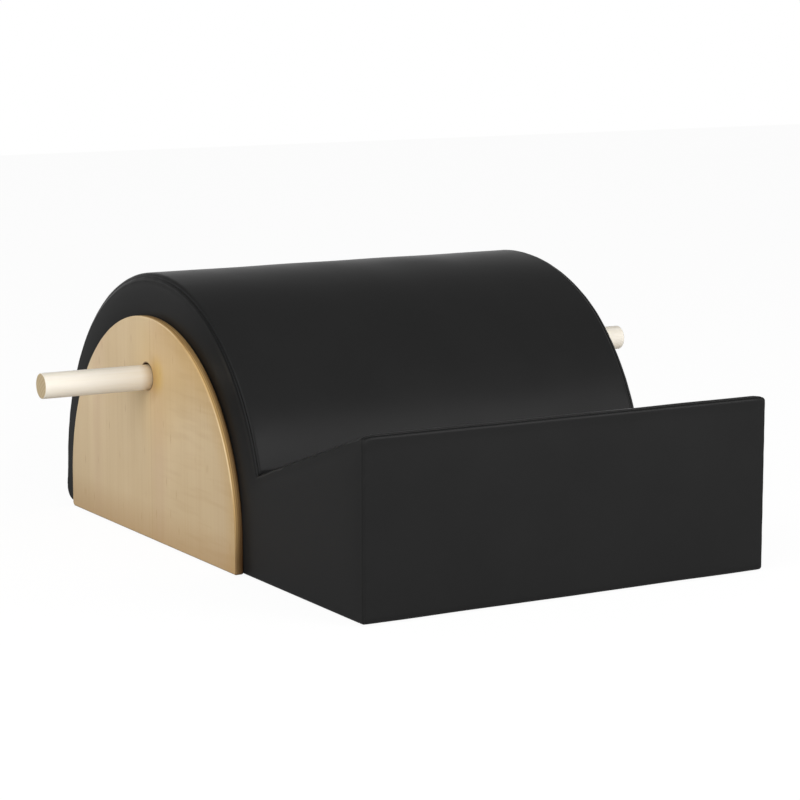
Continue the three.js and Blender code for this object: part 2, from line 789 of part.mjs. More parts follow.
function addDustCover() {
  const top = underZ + baseUnder - fit;
  const frontEdge = frontY + frontHeelRadius + hemWidth + fit;
  const backEdge = backY - backHeelRadius - hemWidth - fit;
  const sideEdge = halfWidth - hemWidth - fit;
  const sheet = block([-sideEdge, frontEdge, top - dustCoverThick], [sideEdge, backEdge, top]);
  const holes = footPlaces.map((place) => {
    const hole = turned([
      [0, -overrun], [footRadius + fit, -overrun], [footRadius + fit, top + overrun], [0, top + overrun],
    ], roundSides);
    hole.translate(place.x, place.y, 0);
    return hole;
  });
  addPiece('dust_cover', cutFrom(sheet, holes), finishes.dustCloth);
}

addDustCover();

export default spineCorrector;
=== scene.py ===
"""Pilates spine corrector: black vinyl over foam on a plywood carcass, birch end plates, one loose bar.

Sizes and places are in mm. The camera, the studio and the nodes' own sockets are in metres.
"""
import math

import bmesh
import bpy
import numpy as np
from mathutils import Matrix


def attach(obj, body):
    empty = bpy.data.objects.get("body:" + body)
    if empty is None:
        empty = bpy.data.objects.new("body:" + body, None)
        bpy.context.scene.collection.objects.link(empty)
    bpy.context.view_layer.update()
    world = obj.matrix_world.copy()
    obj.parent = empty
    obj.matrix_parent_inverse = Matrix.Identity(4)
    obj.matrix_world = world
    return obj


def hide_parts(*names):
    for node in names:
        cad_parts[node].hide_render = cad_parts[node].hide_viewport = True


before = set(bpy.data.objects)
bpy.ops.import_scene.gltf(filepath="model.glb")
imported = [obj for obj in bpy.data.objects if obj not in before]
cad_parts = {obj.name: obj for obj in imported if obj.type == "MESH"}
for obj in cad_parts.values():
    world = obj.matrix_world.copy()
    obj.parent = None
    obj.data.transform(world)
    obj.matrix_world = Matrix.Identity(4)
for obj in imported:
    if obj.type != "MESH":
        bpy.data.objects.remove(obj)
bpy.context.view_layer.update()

# Camera. A long lens about 3.75 m off, low and to the front left, as the photograph was taken. Its
# place, turn and tilt were fitted to the straight edges and circles of the object in the photograph.
CAMERA_PLACE = (-1.84993, -3.20833, 0.79833)
CAMERA_TURN = math.radians(-30.124)
CAMERA_TILT = math.radians(90 - 9.355)
CAMERA_LENS = 121.962
CAMERA_SENSOR = 36

camera_data = bpy.data.cameras.new("camera")
camera_data.lens = CAMERA_LENS
camera_data.sensor_width = CAMERA_SENSOR
camera = bpy.data.objects.new("camera", camera_data)
camera.location = CAMERA_PLACE
camera.rotation_euler = (CAMERA_TILT, 0, CAMERA_TURN)
bpy.context.scene.collection.objects.link(camera)
bpy.context.scene.camera = camera
bpy.context.scene.view_settings.view_transform = "Standard"


# Studio. A white sweep under and behind the object, a large soft box at the left, one at the front
# right and a low one before it, and a surround that is white at the horizon and darker overhead.
# The camera sees the backdrop white, and the floor white with a faint shadow.
def linear(hex_colour):
    """An sRGB hex colour as linear RGBA: c/12.92 below 0.04045, else ((c + 0.055)/1.055)^2.4."""
    shares = [int(hex_colour[i:i + 2], 16) / 255 for i in (1, 3, 5)]
    return [c / 12.92 if c <= 0.04045 else ((c + 0.055) / 1.055) ** 2.4 for c in shares] + [1.0]


def add_node(tree, kind, sockets=(), **settings):
    """A shader node of a kind, with its settings, and its sockets set to values or linked to outputs."""
    node = tree.nodes.new("ShaderNode" + kind)
    for key, value in settings.items():
        setattr(node, key, value)
    for key, value in dict(sockets).items():
        if isinstance(value, bpy.types.NodeSocket):
            tree.links.new(value, node.inputs[key])
        else:
            node.inputs[key].default_value = value
    return node


def emptied(owner):
    """The node tree of a material or a world, with its nodes removed."""
    owner.use_nodes = True
    owner.node_tree.nodes.clear()
    return owner.node_tree


def shown_white(tree, mirrored_share):
    """The share in which a ray sees the studio's plain white: all of it when it comes from the
    camera or through glass, and the mirrored share when it comes from a glossy surface."""
    rays = add_node(tree, "LightPath")
    seen = add_node(tree, "Math", {
        0: rays.outputs["Is Camera Ray"], 1: rays.outputs["Is Transmission Ray"]}, operation="MAXIMUM")
    mirrored = add_node(tree, "Math", {
        0: rays.outputs["Is Glossy Ray"], 1: mirrored_share}, operation="MULTIPLY")
    return add_node(tree, "Math", {
        0: seen.outputs[0], 1: mirrored.outputs[0]}, operation="MAXIMUM").outputs[0]


# The surround's strength at some heights, and the heights between which glossy rays see it turn
# from plain white, low down, to this strength
SURROUND = ((0.02, 1.00), (0.22, 0.53), (0.42, 0.48), (0.62, 0.25), (0.98, 0.18))
BACKDROP_FOOT, BACKDROP_TOP = 0.02, 0.22
WHITE = linear("#ffffff")

world = bpy.data.worlds.new("studio surround")
bpy.context.scene.world = world
tree = emptied(world)
direction = add_node(tree, "TexCoord").outputs["Generated"]
upward = add_node(tree, "SeparateXYZ", {0: direction}).outputs["Z"]
surround = add_node(tree, "ValToRGB", {0: upward})
for height, strength in SURROUND:
    surround.color_ramp.elements.new(height).color = (strength, strength, strength, 1.0)
surround.color_ramp.elements.remove(surround.color_ramp.elements[0])
surround.color_ramp.elements.remove(surround.color_ramp.elements[-1])
backdrop = add_node(tree, "MapRange", {0: upward, 1: BACKDROP_FOOT, 2: BACKDROP_TOP, 3: 1.0, 4: 0.0})
ambient = add_node(tree, "Background", {"Color": surround.outputs["Color"], "Strength": 1.0})
plain_white = add_node(tree, "Background", {"Color": WHITE, "Strength": 1.0})
background = add_node(tree, "MixShader", {
    0: shown_white(tree, backdrop.outputs[0]), 1: ambient.outputs[0], 2: plain_white.outputs[0]})
add_node(tree, "OutputWorld", {0: background.outputs[0]})

# The floor: matt grey paper to the object's light, and to the camera a glow with a share of the paper
FLOOR_HALF = 7.0
FLOOR_SHADE = "#c0c0c0"
FLOOR_SHADOW_SHARE = 0.16
FLOOR_GLOW = 1.12
FLOOR_MIRRORED = 0.15

floor_mesh = bpy.data.meshes.new("floor")
floor_corners = [(x * FLOOR_HALF, y * FLOOR_HALF, 0) for x, y in ((-1, -1), (1, -1), (1, 1), (-1, 1))]
floor_mesh.from_pydata(floor_corners, [], [(0, 1, 2, 3)])
floor = bpy.data.objects.new("floor", floor_mesh)
bpy.context.scene.collection.objects.link(floor)
white_paper = bpy.data.materials.new("white paper sweep")
tree = emptied(white_paper)
matt = add_node(tree, "BsdfDiffuse", {"Color": linear(FLOOR_SHADE)})
glow = add_node(tree, "Emission", {"Color": WHITE, "Strength": FLOOR_GLOW})
bright = add_node(tree, "MixShader", {0: FLOOR_SHADOW_SHARE, 1: glow.outputs[0], 2: matt.outputs[0]})
paper = add_node(tree, "MixShader", {
    0: shown_white(tree, FLOOR_MIRRORED), 1: matt.outputs[0], 2: bright.outputs[0]})
add_node(tree, "OutputMaterial", {0: paper.outputs[0]})
floor_mesh.materials.append(white_paper)


def soft_box(name, place, target, size, power):
    """A square area lamp at a place, turned to face a target point."""
    data = bpy.data.lights.new(name, "AREA")
    data.shape, data.size, data.energy = "SQUARE", size, power
    lamp = bpy.data.objects.new(name, data)
    lamp.location = place
    away = np.subtract(target, place)
    flat = math.hypot(away[0], away[1])
    lamp.rotation_euler = (math.atan2(flat, -away[2]), 0, math.atan2(away[1], away[0]) - math.pi / 2)
    bpy.context.scene.collection.objects.link(lamp)
    return lamp


LAMP_TARGET = (0, 0, 0.2)
soft_box("left soft box", (-3.4, -1.9, 2.3), LAMP_TARGET, 4.0, 100)
soft_box("right soft box", (1.8, -3.2, 1.8), LAMP_TARGET, 2.0, 65)
soft_box("low soft box", (-0.3, -3.8, 1.1), LAMP_TARGET, 2.0, 27)

# Upholstery. The body is covered in black vinyl, sewn from a strip over the arch, a strip over
# the step, a front panel and a panel on each side. It is pulled over foam and stapled to the base.
HALF_WIDTH = 300.0
UNDER = 2.0
FRONT = -449.0
BACK = 449.0
ARCH_Y, ARCH_Z, ARCH_RADIUS = 131.0, 50.0, 318.0
LIP_TOP = 233.6
# The step's fall, which is about the height of the valley at its end above the arch's centre
STEP_FALL = 92.0
STEP_TURN = math.atan2(STEP_FALL, ARCH_Y - FRONT - math.sqrt(ARCH_RADIUS ** 2 - STEP_FALL ** 2))
# Radii of the lip's and the heels' roundings, and widths of the hems underneath
LIP_RADIUS, FRONT_HEEL, BACK_HEEL, HEM, BACK_HEM = 4.5, 5.0, 23.0, 38.0, 30.0
LIP_Y = FRONT + LIP_RADIUS
LIP_Z = LIP_TOP - LIP_RADIUS * math.tan(STEP_TURN) - LIP_RADIUS / math.cos(STEP_TURN)
SLOPE_NORMAL_ANGLE = math.pi / 2 - STEP_TURN


def arch_start(depth):
    """Angle from the front at which the step's face, at a depth, meets the arch at that depth:
    asin(distance of the face from the arch's centre / radius) + the step's own angle."""
    offset = (LIP_TOP - (ARCH_Y - FRONT) * math.tan(STEP_TURN) - ARCH_Z) * math.cos(STEP_TURN) - depth
    return np.arcsin(offset / (ARCH_RADIUS - depth)) + STEP_TURN


def arc_point(centre_y, centre_z, radius, angle):
    """Centre plus radius times (cos, sin) of the angle."""
    return centre_y + radius * np.cos(angle), centre_z + radius * np.sin(angle)


# Stretch numbers at which the outline's nine pieces start, from hem to hem, and at which it ends
(AT_FRONT_HEM, AT_FRONT_HEEL, AT_FACE, AT_LIP, AT_SLOPE,
 AT_ARCH, AT_WALL, AT_BACK_HEEL, AT_BACK_HEM, AT_END) = range(10)
BEFORE_END = AT_END - 1e-5


def outline(stretch, depth):
    """Side outline as y, z arrays. The whole part of stretch picks the piece of the outline, and its
    fraction runs along that piece. Roundings turn about their centres, straight pieces run evenly,
    and the point lies a depth below the surface, so rounded pieces get smaller."""
    stretch, depth = np.broadcast_arrays(np.asarray(stretch, float), np.asarray(depth, float))
    piece = np.clip(np.floor(stretch), AT_FRONT_HEM, AT_BACK_HEM).astype(int)
    share = stretch - piece
    start = arch_start(depth)
    foot_y, foot_z = arc_point(LIP_Y, LIP_Z, LIP_RADIUS - depth, SLOPE_NORMAL_ANGLE)
    meet_y, meet_z = arc_point(ARCH_Y, ARCH_Z, ARCH_RADIUS - depth, math.pi - start)
    heel_y, back_y = FRONT + FRONT_HEEL, BACK - BACK_HEEL
    candidates = [
        (heel_y + HEM * (1 - share), UNDER + depth),
        arc_point(heel_y, UNDER + FRONT_HEEL, FRONT_HEEL - depth, math.pi * (1.5 - 0.5 * share)),
        (FRONT + depth, UNDER + FRONT_HEEL + share * (LIP_Z - UNDER - FRONT_HEEL)),
        arc_point(LIP_Y, LIP_Z, LIP_RADIUS - depth, math.pi + share * (SLOPE_NORMAL_ANGLE - math.pi)),
        (foot_y + share * (meet_y - foot_y), foot_z + share * (meet_z - foot_z)),
        arc_point(ARCH_Y, ARCH_Z, ARCH_RADIUS - depth, (math.pi - start) * (1 - share)),
        (BACK - depth, ARCH_Z + share * (UNDER + BACK_HEEL - ARCH_Z)),
        arc_point(back_y, UNDER + BACK_HEEL, BACK_HEEL - depth, -0.5 * math.pi * share),
        (back_y - BACK_HEM * share, UNDER + depth),
    ]
    y = np.choose(piece, [np.broadcast_to(c[0], piece.shape) for c in candidates])
    z = np.choose(piece, [np.broadcast_to(c[1], piece.shape) for c in candidates])
    return y, z


KNOTS_PER_PIECE = 200
knots = np.linspace(AT_FRONT_HEM, AT_END, AT_END * KNOTS_PER_PIECE + 1)
knot_y, knot_z = outline(np.minimum(knots, BEFORE_END), 0.0)
knot_run = np.concatenate([[0], np.cumsum(np.hypot(np.diff(knot_y), np.diff(knot_z)))])


def run_at(stretch):
    """Distance along the outline, from the front hem's edge."""
    return np.interp(stretch, knots, knot_run)


def stretch_at(run):
    """The outline's stretch number at a distance along it."""
    return np.interp(run, knot_run, knots)


# By side, left (-1) and right (1): stretch numbers, each with the radius of the rounded edge there
# and with the angle, in degrees round that edge, at which the seam lies
ROLL_KNOTS = {
    -1: ((0, 4), (2, 4), (4, 3.5), (4.6, 3.5), (5, 6), (5.25, 7), (5.6, 13), (5.8, 12), (5.9, 11),
         (6, 11), (6.5, 8.5), (7, 7), (8, 4), (9, 4)),
    1: ((0, 4), (2, 4), (4, 3.5), (4.6, 4), (5, 13), (5.15, 12.5), (5.23, 10.5), (5.36, 15),
        (5.6, 14), (7, 13), (8, 4), (9, 4))}
SEAM_KNOTS = {
    -1: ((1, 0), (2, 12), (3, 12), (3.6, 14), (4, 20), (5, 40), (5.02, 42), (5.25, 50), (5.6, 62),
         (7, 62), (8, 0)),
    1: ((1, 0), (2, 12), (3, 12), (3.6, 14), (4, 20), (5, 22), (7, 22), (8, 0))}


def roll_radius(stretch, side):
    """Radius of the rounding between a strip and a side panel, read between its knots. The left edge
    is pulled tighter than the right one from the step up the foot of the arch."""
    return np.interp(stretch, *zip(*ROLL_KNOTS[side]))


def seam_width(stretch, side):
    """Distance from the middle of a strip to its side seam, along the strip: the flat part plus the
    rounding's radius times the seam's angle round it, less the mitre where the strip is a hem."""
    roll = roll_radius(stretch, side)
    seam_angle = np.radians(np.interp(stretch, *zip(*SEAM_KNOTS[side])))
    mitre = (np.clip(run_at(AT_FRONT_HEEL) - run_at(stretch), 0, None)
             + np.clip(run_at(stretch) - run_at(AT_BACK_HEM), 0, None) * HEM / BACK_HEM)
    return HALF_WIDTH - roll + roll * seam_angle - mitre


def section(across, roll, lift):
    """x and depth of a point on a strip or panel, from its distance across: level up to the
    rounding, then round it by distance over radius. A lift moves it outwards along its normal."""
    turn = np.clip((across - (HALF_WIDTH - roll)) / roll, 0, math.pi / 2)
    x = np.minimum(across, HALF_WIDTH - roll) + (roll + lift) * np.sin(turn)
    return x, roll - (roll + lift) * np.cos(turn)


# Distances of a piece's columns and rows from its sewn edge, close together where the vinyl dips.
# The first two are the foot and the top of the short wall in the seam, which is 1 mm deep.
SEAM_EDGE = np.array([
    0.0, 0.0, 0.06, 0.25, 0.6, 1.1, 1.7, 2.4, 3.2, 4.2, 5.2, 5.9, 6.6, 7.6, 9.0, 11.0, 13.5, 16.5, 20.0])
SEAM_DEEP = 1.0
WALL_LEAN = 0.02
LIP_SEAM = AT_LIP + 0.5


def shoulder(gap, width, drop):
    """How far the vinyl has dropped at a distance from a seam: a quarter of an ellipse, the drop
    times one less the root of 1 - ((width - gap) / width)^2."""
    inner = np.clip(1 - gap / width, 0, 1)
    return drop * (1 - np.sqrt(1 - inner ** 2))


def seam_valley(gap, width, drop):
    """How far a side seam draws the vinyl in at a distance from it: the drop times
    ((width - gap) / width)^2, a soft V."""
    return drop * np.clip(1 - gap / width, 0, 1) ** 2


def side_seam_drop(stretch):
    """The side seams are drawn in by 2 mm over the arch, by less along the step, and by 0.35 mm down
    the front corners, where the foam is thin. It is read between stretch numbers."""
    return np.interp(stretch, [0, 1, 1.5, 3, 4, 5, 8, 8.5, 9], [0, 0, 0.35, 0.35, 0.6, 2.0, 2.0, 0, 0])


DENT_DEEP, DENT_REACH = 1.3, 4.0


def corner_dent(run, gap):
    """The three seams that meet at the end of the lip pull a dent: a bell over the distances along
    and from the side seam."""
    return DENT_DEEP * np.exp(-((run - run_at(LIP_SEAM)) / DENT_REACH) ** 2 - (gap / DENT_REACH) ** 2)


def pucker(run, gap):
    """Slight gathers that the stitching draws: waves of about 31 mm along the seam, fading with
    the distance from it, and slower, stronger ones of 42 mm along the step."""
    wave = np.sin(run / 4.9 + 1.3 * np.sin(run / 37.0)) + 0.6 * np.sin(run / 7.7 + 2.0)
    fades = [run_at(AT_SLOPE), run_at(AT_SLOPE + 0.15), run_at(AT_SLOPE + 0.9), run_at(AT_ARCH)]
    along_step = np.interp(run, fades, [0, 1, 1, 0])
    slow = np.sin(run / 6.7 + 0.8 * np.sin(run / 23.0))
    return -0.10 * (1.2 + wave) * np.exp(-gap / 9.0) + 0.4 * along_step * slow * np.exp(-gap / 16.0)


def soft_unevenness(run, x):
    """Foam is never dead flat: a sum of three slow waves, 125 to 170 mm long, a few tenths high."""
    return 0.12 * (np.sin(run / 31.0 + x / 57.0) + np.sin(run / 47.0 - x / 33.0 + 1.1)
                   + 0.8 * np.sin(run / 71.0 + x / 21.0 + 2.3))


MERGE_DISTANCE = 2e-6
BODY_MIDDLE = np.array([0.0, 0.0, 60.0])


def surface(name, points, around=False, through=False):
    """A grid of points in mm (rows, columns, 3) as a mesh of quads in metres. around joins the last
    column to the first, and through the last row to the first. Quads are turned to face away from
    the mesh's own middle, or from the body's where it is open, and doubled points are merged."""
    rows, columns = points.shape[:2]
    index = np.arange(rows * columns).reshape(rows, columns)
    if around:
        index = np.hstack([index, index[:, :1]])
    if through:
        index = np.vstack([index, index[:1]])
    quads = np.stack([index[:-1, :-1], index[:-1, 1:], index[1:, 1:], index[1:, :-1]], axis=-1).reshape(-1, 4)
    flat = points.reshape(-1, 3)
    corners = flat[quads]
    normals = np.cross(corners[:, 2] - corners[:, 0], corners[:, 3] - corners[:, 1])
    middle = flat.mean(0) if around or through else BODY_MIDDLE
    if np.sum(normals * (corners.mean(1) - middle)) < 0:
        quads = quads[:, ::-1]
    mesh = bpy.data.meshes.new(name)
    mesh.from_pydata((flat / 1000).tolist(), [], quads.tolist())
    work = bmesh.new()
    work.from_mesh(mesh)
    bmesh.ops.remove_doubles(work, verts=work.verts, dist=MERGE_DISTANCE)
    work.to_mesh(mesh)
    work.free()
    mesh.polygons.foreach_set("use_smooth", [True] * len(mesh.polygons))
    piece = bpy.data.objects.new(name, mesh)
    bpy.context.scene.collection.objects.link(piece)
    return piece


# PVC-coated cloth, calendered and embossed with a fine leather grain. It is near black and satin:
# broad soft highlights, darkest where it faces up and away, lightest where it is seen edge on.
VINYL_BLACK = "#212121"
VINYL_WORN = "#252525"
# Colour of the painted shade on the side panels beside the plates
VINYL_PAINTED_SHADE = "#121212"
VINYL_THICK = 1.2
PEBBLE_MM = 1.3
# Centre of the painted shade on the side panels
PAINTED_SHADE_Y, PAINTED_SHADE_Z = -81.0, 264.0
vinyl = bpy.data.materials.new("black embossed vinyl")
tree = emptied(vinyl)
place = add_node(tree, "TexCoord").outputs["Object"]
pebble = add_node(tree, "TexVoronoi", {
    "Vector": place, "Scale": 1000 / PEBBLE_MM, "Randomness": 1.0}, feature="SMOOTH_F1")
creases = add_node(tree, "TexNoise", {
    "Vector": place, "Scale": 1000 / (6 * PEBBLE_MM), "Detail": 4.0, "Roughness": 0.6})
grain = add_node(tree, "Math", {0: pebble.outputs["Distance"], 1: creases.outputs["Fac"]}, operation="ADD")
grain_bump = add_node(tree, "Bump", {"Height": grain.outputs[0], "Strength": 0.05, "Distance": 0.0004})
patches = add_node(tree, "TexNoise", {"Vector": place, "Scale": 9.0, "Detail": 3.0}).outputs["Fac"]
tint = add_node(tree, "Mix", {
    0: patches, 6: linear(VINYL_BLACK), 7: linear(VINYL_WORN)}, data_type="RGBA").outputs[2]
satin = add_node(tree, "MapRange", {0: patches, 1: 0.3, 2: 0.7, 3: 0.31, 4: 0.37}).outputs[0]
# Painted shade: the side panels are darker round the front of the arch, beside the plates
panel_x = add_node(tree, "SeparateXYZ", {0: place}).outputs["X"]
panel_out = add_node(tree, "Math", {0: panel_x}, operation="ABSOLUTE").outputs[0]
on_panel = add_node(tree, "MapRange", {
    0: panel_out, 1: (HALF_WIDTH - 2.0) / 1000, 2: (HALF_WIDTH - 0.8) / 1000}).outputs[0]
painted_shade_place = add_node(tree, "Mapping", {
    "Vector": place, "Location": (0, -PAINTED_SHADE_Y / 1000, -PAINTED_SHADE_Z / 1000), "Scale": (0.0, 1.0, 1.0)})
painted_shade_far = add_node(tree, "VectorMath", {0: painted_shade_place.outputs[0]}, operation="LENGTH").outputs["Value"]
painted_shade_haze = add_node(tree, "MapRange", {
    0: painted_shade_far, 1: 0.020, 2: 0.200, 3: 0.9, 4: 0.0}, interpolation_type="SMOOTHSTEP").outputs[0]
painted_shade_share = add_node(tree, "Math", {0: on_panel, 1: painted_shade_haze}, operation="MULTIPLY").outputs[0]
vinyl_colour = add_node(tree, "Mix", {
    0: painted_shade_share, 6: tint, 7: linear(VINYL_PAINTED_SHADE)}, data_type="RGBA").outputs[2]
vinyl_shader = add_node(tree, "BsdfPrincipled", {
    "Base Color": vinyl_colour, "Roughness": satin, "Specular IOR Level": 0.07, "IOR": 1.5,
    "Normal": grain_bump.outputs[0]})
add_node(tree, "OutputMaterial", {0: vinyl_shader.outputs[0]})


def settle(piece, material, node, body="carcass"):
    """Gives a piece its material, hides the CAD node it replaces and hangs it on the body it rides."""
    piece.data.materials.append(material)
    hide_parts(node)
    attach(piece, body)


def upholster(piece, node):
    """Gives a vinyl piece its thickness, inwards, and its material, hides the CAD node it stands for and
    hangs it on the carcass.
    """
    wall = piece.modifiers.new("vinyl thickness", "SOLIDIFY")
    wall.thickness = VINYL_THICK / 1000
    wall.offset = -1
    settle(piece, vinyl, node)


SEAM_GAP, CREASE_GAP = 0.06, 0.15
ROW_SPACING = 5.0
MIDDLE_COLUMNS = 24
VALLEY_AT_LIP, VALLEY_AT_ARCH = 4.2, 7.0


def strip(name, runs, lift_at, ends):
    """A strip of vinyl across the body: rows at distances along the outline, columns from seam to
    seam. The outline gives each point's place, and its lift along the normal is lift_at of run,
    distance across and distance from the seam, plus the pucker, less the seam's valley, the corner's
    dent and the drop of each row at the strip's own two sewn or tucked ends."""
    stretch = np.minimum(stretch_at(runs), BEFORE_END)[:, None]
    runs = runs[:, None]
    middle = np.linspace(1, 0, MIDDLE_COLUMNS + 2)[1:-1]
    valley = np.interp(stretch, [AT_LIP, AT_ARCH], [VALLEY_AT_LIP, VALLEY_AT_ARCH])
    halves = []
    for side in (1, -1):
        seam = seam_width(stretch, side)
        gap = np.hstack([np.broadcast_to(SEAM_EDGE, (len(stretch), len(SEAM_EDGE))),
                         seam - (seam - SEAM_EDGE[-1]) * middle, seam])
        gap[:, 1] += WALL_LEAN
        deep = np.zeros(gap.shape[1])
        deep[0] = SEAM_DEEP
        across = np.clip(seam - SEAM_GAP - gap, 0, None)
        drawn_in = seam_valley(gap, valley, side_seam_drop(stretch))
        lift = (lift_at(runs, across, gap) + pucker(runs, gap) - drawn_in
                - corner_dent(runs, gap) - deep - ends[:, None])
        x, depth = section(across, roll_radius(stretch, side), lift)
        y, z = outline(stretch, depth)
        halves.append(np.stack([x * side, y, z], axis=-1))
    return surface(name, np.concatenate([halves[0], halves[1][:, :-1][:, ::-1]], axis=1))


def rows_between(start, end, sewn_start, sewn_end):
    """Distances along the outline: evenly spaced, and close together by a sewn or tucked end."""
    inner = np.linspace(start, end, max(2, int(round((end - start) / ROW_SPACING))) + 1)
    low = start + SEAM_EDGE if sewn_start else np.array([start])
    high = end - SEAM_EDGE if sewn_end else np.array([end])
    keep = (inner > low.max() + 0.5 * ROW_SPACING) & (inner < high.min() - 0.5 * ROW_SPACING)
    return np.sort(np.concatenate([low, inner[keep], high]))


SLIT_STEEP = 6.0


def end_drop(runs, start, end):
    """The drop of a strip into the seam or crease at each end, given as width, drop and slit or None:
    a shoulder, then within the slit a steep V, and a short wall straight down at the very end."""
    drop = np.zeros(len(runs))
    for gap, shape, last in ((runs - runs[0], start, 0), (runs[-1] - runs, end, -1)):
        if shape:
            width, fall, slit = shape
            drop += shoulder(np.clip(gap - slit, 0, None), width, fall)
            drop += SLIT_STEEP * np.clip(slit - gap, 0, None)
            drop[last] += SEAM_DEEP
    return drop


SWELL_REACH, SWELL_FADE = 9.0, 14.0


def lip_swell(run, gap, centre, height):
    """The padding swells beside the lip's seam and dies out at its two ends: a bell over the distance
    from its centre."""
    return height * np.exp(-((run - centre) / SWELL_REACH) ** 2) * np.clip(gap / SWELL_FADE, 0, 1)


def allowance(run, gap):
    """The seam allowance folded under the arch strip's edge: a flat ridge 5.6 mm wide that shows on
    some stretches and fades on others."""
    shows = 0.55 + 0.45 * np.sin(run / 83.0 + 0.4) * np.sin(run / 29.0 + 1.0)
    return 0.45 * shows * (0.5 - 0.5 * np.tanh((gap - 5.6) / 0.7))


def uneven(run, across, gap):
    """The foam's unevenness, faded out over 30 mm towards the side seams."""
    return soft_unevenness(run, across) * np.clip(gap / 30, 0, 1)


def crown(run, across, low, high, height, half, power):
    """A pad's swell in its middle: its height, times one less the cube of the way from its middle to
    its ends low and high, times one less a power of the way to its sides, half its width off."""
    along = np.clip((run - low) / (high - low), 0, 1)
    return height * (1 - np.abs(2 * along - 1) ** 3) * (1 - np.clip(across / half, 0, 1) ** power)


# Drops at the strips' ends: width, fall and slit, in the crease at the valley, and above and below
# the lip's seam
CREASE = (5.0, 4.0, 0.0)
LIP_UPPER, LIP_LOWER = (0.6, 0.5, 0.7), (0.9, 0.5, 0.6)

# Strip over the arch, from the crease at the step down to the hem at the back
runs = rows_between(run_at(AT_ARCH) + CREASE_GAP, run_at(AT_END), True, False)
barrel = strip(
    "barrel_upholstery", runs,
    lambda run, across, gap: uneven(run, across, gap) + allowance(run, gap),
    end_drop(runs, CREASE, None))
upholster(barrel, "barrel_cover")

# Strip over the step, from the seam at the lip down to the crease at the arch. Its pad swells by
# 1.6 mm in the middle, and by 2.4 mm close behind the lip.
runs = rows_between(run_at(LIP_SEAM) + SEAM_GAP, run_at(AT_ARCH) - CREASE_GAP, True, True)
step = strip(
    "step_upholstery", runs,
    lambda run, across, gap: (crown(run, across, run_at(AT_SLOPE), run_at(AT_ARCH), 1.6, 287, 4)
                              + uneven(run, across, gap)
                              + lip_swell(run, gap, run_at(LIP_SEAM) + SWELL_REACH, 2.4)),
    end_drop(runs, LIP_UPPER, CREASE))
upholster(step, "step_cover")

# Front panel, from the hem under the front up to the seam at the lip. Its pad swells by 2 mm in the
# middle, and by 1.1 mm at the lip.
runs = rows_between(run_at(AT_FRONT_HEM), run_at(LIP_SEAM) - SEAM_GAP, False, True)
front = strip(
    "front_upholstery", runs,
    lambda run, across, gap: (crown(run, across, run_at(AT_FACE), run_at(LIP_SEAM), 2.0, 296, 6)
                              + uneven(run, across, gap)
                              + lip_swell(run, gap, run_at(LIP_SEAM), 1.1)),
    end_drop(runs, None, LIP_LOWER))
upholster(front, "front_cover")

# Side panels. Each is sewn to the three strips all round, turns under at the base, and runs on
# behind its end plate as far as the bar's hole.
PLATE_RADIUS, PLATE_Z = 264.0, 46.0
BAR_HOLE_Y, BAR_HOLE_Z = 131.0, 227.8
TUBE_HOLE = 21.9
TUCK = 15.0
HIDDEN_FOOT = 12.0
VALLEY_DEPTH = 13.0
SHARE_AT_SLOPE = 0.45


def hidden_curve(runs, radius, low_z):
    """For places along the outline, the matching points of a curve behind the plate: up a straight
    side for the front and the step, round the plate's centre for the arch, and down for the back."""
    valley = arch_start(VALLEY_DEPTH)
    up = np.interp(runs, [run_at(AT_FRONT_HEEL), run_at(AT_SLOPE), run_at(AT_ARCH)], [0, SHARE_AT_SLOPE, 1])
    distance = up * (PLATE_Z - low_z + radius * valley)
    left_turn = np.clip((distance - (PLATE_Z - low_z)) / radius, 0, None)
    over = np.interp(runs, [run_at(AT_ARCH), run_at(AT_WALL)], [0, 1])
    turn = np.where(runs > run_at(AT_ARCH), valley + (math.pi - valley) * over, left_turn)
    down = np.interp(runs, [run_at(AT_WALL), run_at(AT_BACK_HEM)], [0, PLATE_Z - low_z])
    return (ARCH_Y - radius * np.cos(turn),
            PLATE_Z + radius * np.sin(turn) - down - np.clip(PLATE_Z - low_z - distance, 0, None))


SIDE_SWELL = 1.7
TOP_BLEND = 12.0


def side_swell(y, z):
    """The side swells where no plate holds it: one less a decay with the distance from each edge,
    multiplied over front, base, top, plate and back. The top is a smooth maximum of step and arch."""
    below_step = (LIP_TOP - (y - FRONT) * math.tan(STEP_TURN) - z) * math.cos(STEP_TURN)
    inside_arch = ARCH_RADIUS - np.hypot(y - ARCH_Y, z - ARCH_Z)
    below_top = TOP_BLEND * np.logaddexp(below_step / TOP_BLEND, inside_arch / TOP_BLEND)
    past_plate = np.hypot(y - ARCH_Y, np.clip(z - PLATE_Z, 0, None)) - PLATE_RADIUS
    swell = SIDE_SWELL
    for distance, start, reach in ((y - FRONT, 5, 22), (z - UNDER, 4, 22), (below_top, 13, 16),
                                   (past_plate, 1, 7), (BACK - y, 5, 22)):
        swell = swell * (1 - np.exp(-np.clip(distance - start, 0, None) / reach))
    return swell


# Stations of a side panel along each piece of the outline, and along the base
PANEL_STEPS = ((AT_FRONT_HEEL, 7), (AT_FACE, 45), (AT_LIP, 13), (AT_SLOPE, 60),
               (AT_ARCH, 200), (AT_WALL, 7), (AT_BACK_HEEL, 11))
BASE_STEPS = 170
BASE_ROLL = 4.0
# Distances of a panel's first rings from its sewn edge, and shares of the way along its rays
PANEL_EDGE = np.concatenate([[0.0, WALL_LEAN], SEAM_EDGE[2:10]])
KNEE_STEPS = 12
OUTWARD = np.array((0.02, 0.05, 0.09, 0.14, 0.2, 0.27, 0.35, 0.44, 0.54, 0.64, 0.74, 0.83, 0.91, 1.0))
INWARD = np.array((0.5, 1.0))
# Width of the seam's valley on a panel, its share of the strips' drop, and how far the face is sunk
VALLEY_PANEL, PANEL_DROP = 5.0, 0.45
FACE_SUNK = 0.05


